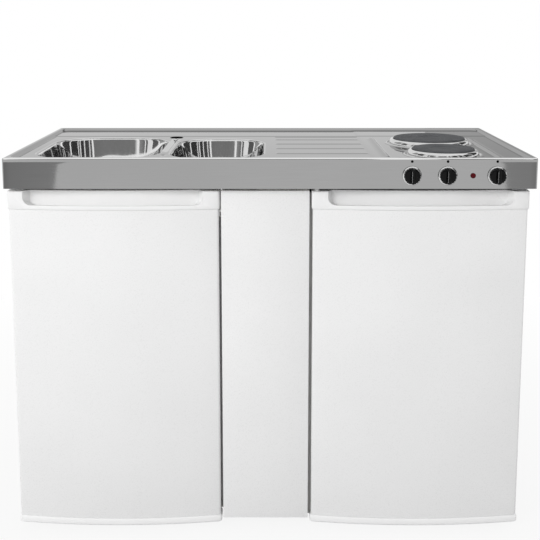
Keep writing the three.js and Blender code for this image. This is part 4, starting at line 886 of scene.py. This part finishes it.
def buildScrewTree():
    # a round head with a crossed slot on every point, turned the way the point faces
    tree, given, out = startRepeat("crossScrews", {"Radius": "Float", "Rise": "Float"})
    radius, rise = given["Radius"], given["Rise"]
    head = addNode(tree, "GeometryNodeMeshCone", {
        "Vertices": 20, "Radius Top": scaled(tree, radius, 0.72), "Radius Bottom": radius, "Depth": rise})[0]
    slots = []
    for turn in (0, pi / 2):
        size = vector(tree, scaled(tree, radius, 1.05), scaled(tree, radius, 0.2), rise)
        bar = addNode(tree, "GeometryNodeMeshCube", {"Size": size})[0]
        slots.append(addNode(tree, "GeometryNodeTransform", {
            "Geometry": bar, "Translation": vector(tree, 0, 0, rise), "Rotation": (0, 0, turn)})[0])
    facing = addNode(tree, "GeometryNodeInputNamedAttribute", {"Name": "facing"}, data_type="FLOAT_VECTOR")[0]
    turned = addNode(tree, "FunctionNodeAlignRotationToVector", {"Vector": facing}, axis="Z")[0]
    return endRepeat(tree, given, out, cutFrom(tree, head, slots), Rotation=turned)


def buildStrainerTree():
    # a disc with a ring of round holes and one in the middle, on every point
    tree, given, out = startRepeat(
        "strainer", {"Radius": "Float", "Holes": "Int", "Hole Radius": "Float", "Thickness": "Float"})
    disc = cylinder(tree, 48, given["Radius"], given["Thickness"])
    ringRadius = scaled(tree, given["Radius"], 0.62)
    ring = addNode(tree, "GeometryNodeMeshCircle", {"Vertices": given["Holes"], "Radius": ringRadius})[0]
    drill = cylinder(tree, 14, given["Hole Radius"], scaled(tree, given["Thickness"], 3.0))
    drills = addNode(tree, "GeometryNodeJoinGeometry", {0: [realised(tree, onPoints(tree, ring, drill)), drill]})[0]
    return endRepeat(tree, given, out, cutFrom(tree, disc, drills))


wireTree, screwTree, strainerTree = buildWireTree(), buildScrewTree(), buildStrainerTree()
coil = {"wireStep": 9, "wireRadius": 0.8, "tubeRadius": 2.5, "ends": 30, "over": 4, "rows": 9, "inset": 50,
        "strapInset": 30, "strapHalf": 8, "strapOver": 10, "stand": 12}
cabinetLow, cabinetHigh = boxOf("fridge_cabinet")
coilLow, coilHigh = boxOf("condenser")
tubeDepth = coilHigh.y - coil["tubeRadius"]


def tubeMesh(path, radius, sides):
    # a round tube along points that all lie at the tube's depth
    made = bmesh.new()
    rings = []
    for i, (x, z) in enumerate(path):
        x0, z0 = path[max(i - 1, 0)]
        x1, z1 = path[min(i + 1, len(path) - 1)]
        run = hypot(x1 - x0, z1 - z0)
        rings.append([made.verts.new(place(x - across * (z1 - z0) / run, tubeDepth + out, z + across * (x1 - x0) / run))
                      for across, out in circle(0, 0, radius, sides)])
    loft(made, rings)
    return meshOf(made, "tube", True)


def buildCoil():
    # level runs joined by half-round bends, on two straps
    low, high = coilLow.z + coil["strapOver"], coilHigh.z - coil["strapOver"]
    pitch = (high - low) / (coil["rows"] - 1)
    bend = pitch / 2
    left, right = cabinetLow.x + coil["inset"] + bend, cabinetHigh.x - coil["inset"] - bend
    path = [(left, low)]
    for row in range(coil["rows"]):
        side, end = (1, right) if row % 2 == 0 else (-1, left)
        z = low + row * pitch
        path.append((end, z))
        if row + 1 < coil["rows"]:
            path += [(end + side * bend * sin(turn), z + bend * (1 - cos(turn)))
                     for turn in (pi * step / 15 for step in range(1, 15))]
            path.append((end, z + pitch))
    addPiece("condenser_tube", tubeMesh(path, coil["tubeRadius"], 12), blackPaint, "condenser", angle=50)
    wall = cabinetHigh.y + 0.05
    strapXs = {"left": left + coil["strapInset"], "right": right - coil["strapInset"]}
    for name, x in strapXs.items():
        spans = ((tubeDepth - 1, tubeDepth + 1, coilLow.z, coilHigh.z),
                 (wall, tubeDepth - 0.9, coilLow.z, coilLow.z + coil["stand"]),
                 (wall, tubeDepth - 0.9, coilHigh.z - coil["stand"], coilHigh.z))
        strap = boxMesh([((x - coil["strapHalf"], near, foot), (x + coil["strapHalf"], far, top))
                         for near, far, foot, top in spans], 0.4)
        addPiece(f"condenser_strap_{name}", strap, blackPaint)
    return strapXs.values()


strapXs = buildCoil()
firstX, lastX = coilLow.x + coil["ends"], coilHigh.x - coil["ends"]
offset = coil["tubeRadius"] + coil["wireRadius"] - 0.1
runRepeat("condenser_wires", wireTree,
          [((firstX, tubeDepth + side * offset, (coilLow.z + coilHigh.z) / 2), (0, 0, 1)) for side in (-1, 1)],
          {"Count": int((lastX - firstX) / coil["wireStep"]) + 1, "Step": coil["wireStep"] / 1000,
           "Radius": coil["wireRadius"] / 1000, "Length": (coilHigh.z - coilLow.z - 2 * coil["over"]) / 1000},
          blackPaint)

screw = {
    "unit": {"Radius": 0.0042, "Rise": 0.0018}, "door": {"Radius": 0.0038, "Rise": 0.0018},
    "sunk": 0.05,  # how far the heads' undersides lie in the surface
    "cabinetXs": (110, 224, 342, 460, 574), "cabinetZs": (236, cabinetHigh.z - 9),
    "side": ((90, 38), (290, 38), (500, 38), (532, 733), (532, 777), (12, 868)),  # depth, z
    "doorInset": 18, "doorZs": (60, 300, 540, 765),
}
strainer = {"under": 4.7, "inputs": {"Radius": 0.0182, "Holes": 8, "Hole Radius": 0.0028, "Thickness": 0.0012}}
sideLow = boxOf("cupboard_side")[0]
boardLow, boardHigh = boxOf("cupboard_door_board")
unitSpots = [((x, cabinetHigh.y - screw["sunk"], z), (0, 1, 0)) for x in screw["cabinetXs"]
             for z in screw["cabinetZs"]]
unitSpots += [((x, tubeDepth + 1 - screw["sunk"], z), (0, 1, 0)) for x in strapXs
              for z in (coilLow.z + coil["stand"] / 2, coilHigh.z - coil["stand"] / 2)]
unitSpots += [((sideLow.x + screw["sunk"], depth, z), (-1, 0, 0)) for depth, z in screw["side"]]
runRepeat("unit_screws", screwTree, unitSpots, screw["unit"], galvanised, angle=30)
doorSpots = [((x, boardHigh.y - screw["sunk"], z), (0, 1, 0))
             for x in (boardLow.x + screw["doorInset"], boardHigh.x - screw["doorInset"]) for z in screw["doorZs"]]
runRepeat("cupboard_door_screws", screwTree, doorSpots, screw["door"], galvanised, "cupboard_door", 30)
strainerSpots = [((bowl["x"], bowlForm["wasteDepth"], bowlForm["seat"] - bowl["drop"] - strainer["under"]), (0, 0, 1))
                 for bowl in bowls.values()]
runRepeat("waste_strainers", strainerTree, strainerSpots, strainer["inputs"], chrome, angle=30)
print("wires, screws and strainers laid out")


# floor, background, lights and camera
studio = {
    "sky": 0.55, "floorTone": 200, "floorHalf": 14, "floorZ": -0.0004, "glow": 0.89, "glowFrom": 0.7, "glowTo": 2.0,
    # lamps: watts, place, size; all face one point
    "lamps": {"key": (168, (-3.4, -4.4, 2.9), 2.4), "fill": (12, (2.4, -3.4, 1.4), 2.0),
              "top": (18, (0.1, 0.5, 3.4), 2.4), "side": (48, (5.0, 1.3, 2.1), 2.4),
              "back": (60, (-1.4, 5.0, 2.2), 2.4)},
    "lampsFace": (0, 0, 0.55),
    # screens that only reflections see, by their heights: azimuth and tone of the two edges, slant, in degrees
    "screens": {
        (-0.1, 0.6): [(-40, -16.9, 110, 184, -1.6), (19.3, 34, 190, 150, 0.8)],
        (1.7, 4.7): [(-21.5, 9.5, 128, 118, 0), (-25, -21.5, 214, 200, 0), (15, 22, 92, 96, 0),
                     (24.5, 39.5, 80, 66, 0), (42.5, 55, 60, 60, 0), (58, 63.5, 92, 92, 0), (66, 92, 55, 55, 0),
                     (96, 130, 62, 62, 0), (-48.5, -30.5, 112, 150, 0), (-58, -51.5, 100, 100, 0),
                     (-74, -58, 240, 240, 0), (-98, -76, 95, 90, 0), (-130, -103, 158, 158, 0)],
        (0.5, 6): [(140, 165.8, 185, 205, 0)],
    },
    "screenReach": 4.6, "screenParts": 6,
}


def seenPlainly(tree):
    # 1 for rays from the camera, straight, reflected or through glass
    path = addNode(tree, "ShaderNodeLightPath")
    seen = path["Is Camera Ray"]
    for other in ("Is Glossy Ray", "Is Transmission Ray"):
        seen = calc(tree, "MAXIMUM", seen, path[other])
    return seen


def buildSky():
    world = bpy.data.worlds.new("studio")
    bpy.context.scene.world = world
    world.use_nodes = True
    tree = world.node_tree
    background = tree.nodes["Background"].inputs
    background["Color"].default_value = (1, 1, 1, 1)
    tree.links.new(ramp(tree, seenPlainly(tree), 0, 1, studio["sky"], 1.0), background["Strength"])


def addStage(name, points, faces, material):
    mesh = bpy.data.meshes.new(name)
    mesh.from_pydata(points, [], faces)
    mesh.materials.append(material)
    stage = show(name, mesh)
    return stage


def buildFloor():
    # plain white to the camera far away, and shaded near the unit so that its shadow shows
    material, tree, sockets, coords = startMaterial("floorFinish", 0.9)
    s = studio
    colour = blend(tree, noise(tree, coords, 3.0), tone(s["floorTone"] - 2), tone(s["floorTone"]))
    tree.links.new(colour, sockets["Base Color"])
    length = addNode(tree, "ShaderNodeVectorMath", {0: coords}, operation="LENGTH")["Value"]
    far = ramp(tree, length, s["glowFrom"], s["glowTo"], s["glow"], 1)
    glow = addNode(tree, "ShaderNodeEmission")[0]
    mix = addNode(tree, "ShaderNodeMixShader", {
        0: calc(tree, "MULTIPLY", far, seenPlainly(tree)), 1: tree.nodes["Principled BSDF"].outputs[0], 2: glow})
    tree.links.new(mix[0], tree.nodes["Material Output"].inputs["Surface"])
    half, z = s["floorHalf"], s["floorZ"]
    corners = [(-half, -half, z), (half, -half, z), (half, half, z), (-half, half, z)]
    addStage("floor", corners, [(0, 1, 2, 3)], material)


def buildScreens():
    material, tree, _, _ = startMaterial("screenCloth", 1.0)
    cloth = addNode(tree, "ShaderNodeEmission", {"Color": attribute(tree, "level")})
    tree.links.new(cloth[0], tree.nodes["Material Output"].inputs["Surface"])
    points, faces, tones = [], [], []
    reach, parts = studio["screenReach"], studio["screenParts"]
    rows = [(*heights, *row) for heights, group in studio["screens"].items() for row in group]
    for low, high, start, end, toneStart, toneEnd, slant in rows:
        for i in range(parts):
            faces.append(tuple(len(points) + k for k in range(4)))
            for share, z in ((i / parts, low), ((i + 1) / parts, low), ((i + 1) / parts, high), (i / parts, high)):
                angle = radians(start + (end - start) * share + (slant if z == low else 0))
                points.append((reach * sin(angle), -reach * cos(angle), z))
                tones.append(tone(toneStart + (toneEnd - toneStart) * share)[0])
    screens = addStage("screens", points, faces, material)
    screens.data.attributes.new("level", "FLOAT", "POINT").data.foreach_set("value", tones)
    screens.visible_camera = screens.visible_diffuse = False
    screens.visible_shadow = screens.visible_transmission = False


def buildLamps():
    for name, (power, spot, size) in studio["lamps"].items():
        light = bpy.data.lights.new(name, "AREA")
        light.energy = power
        light.size = size
        lamp = show(name, light)
        lamp.location = spot
        lamp.visible_glossy = False
        lamp.rotation_euler = (Vector(studio["lampsFace"]) - Vector(spot)).to_track_quat("-Z", "Y").to_euler()


cameraPlace = {"lens": 62.92, "sensor": 36, "away": 2.086, "height": 1.204, "pitch": 8.5, "shift": -0.201, "reach": 60}


def buildCamera():
    s = cameraPlace
    lens = bpy.data.cameras.new("camera")
    lens.sensor_width = s["sensor"]
    lens.lens = s["lens"]
    lens.shift_y = s["shift"]
    lens.clip_end = s["reach"]
    camera = show("camera", lens)
    camera.location = (0, frontY - s["away"], s["height"])
    camera.rotation_euler = (radians(90 - s["pitch"]), 0, 0)
    bpy.context.scene.camera = camera


buildSky()
buildFloor()
buildScreens()
buildLamps()
buildCamera()
bpy.context.scene.view_settings.view_transform = "Standard"
print("studio ready")
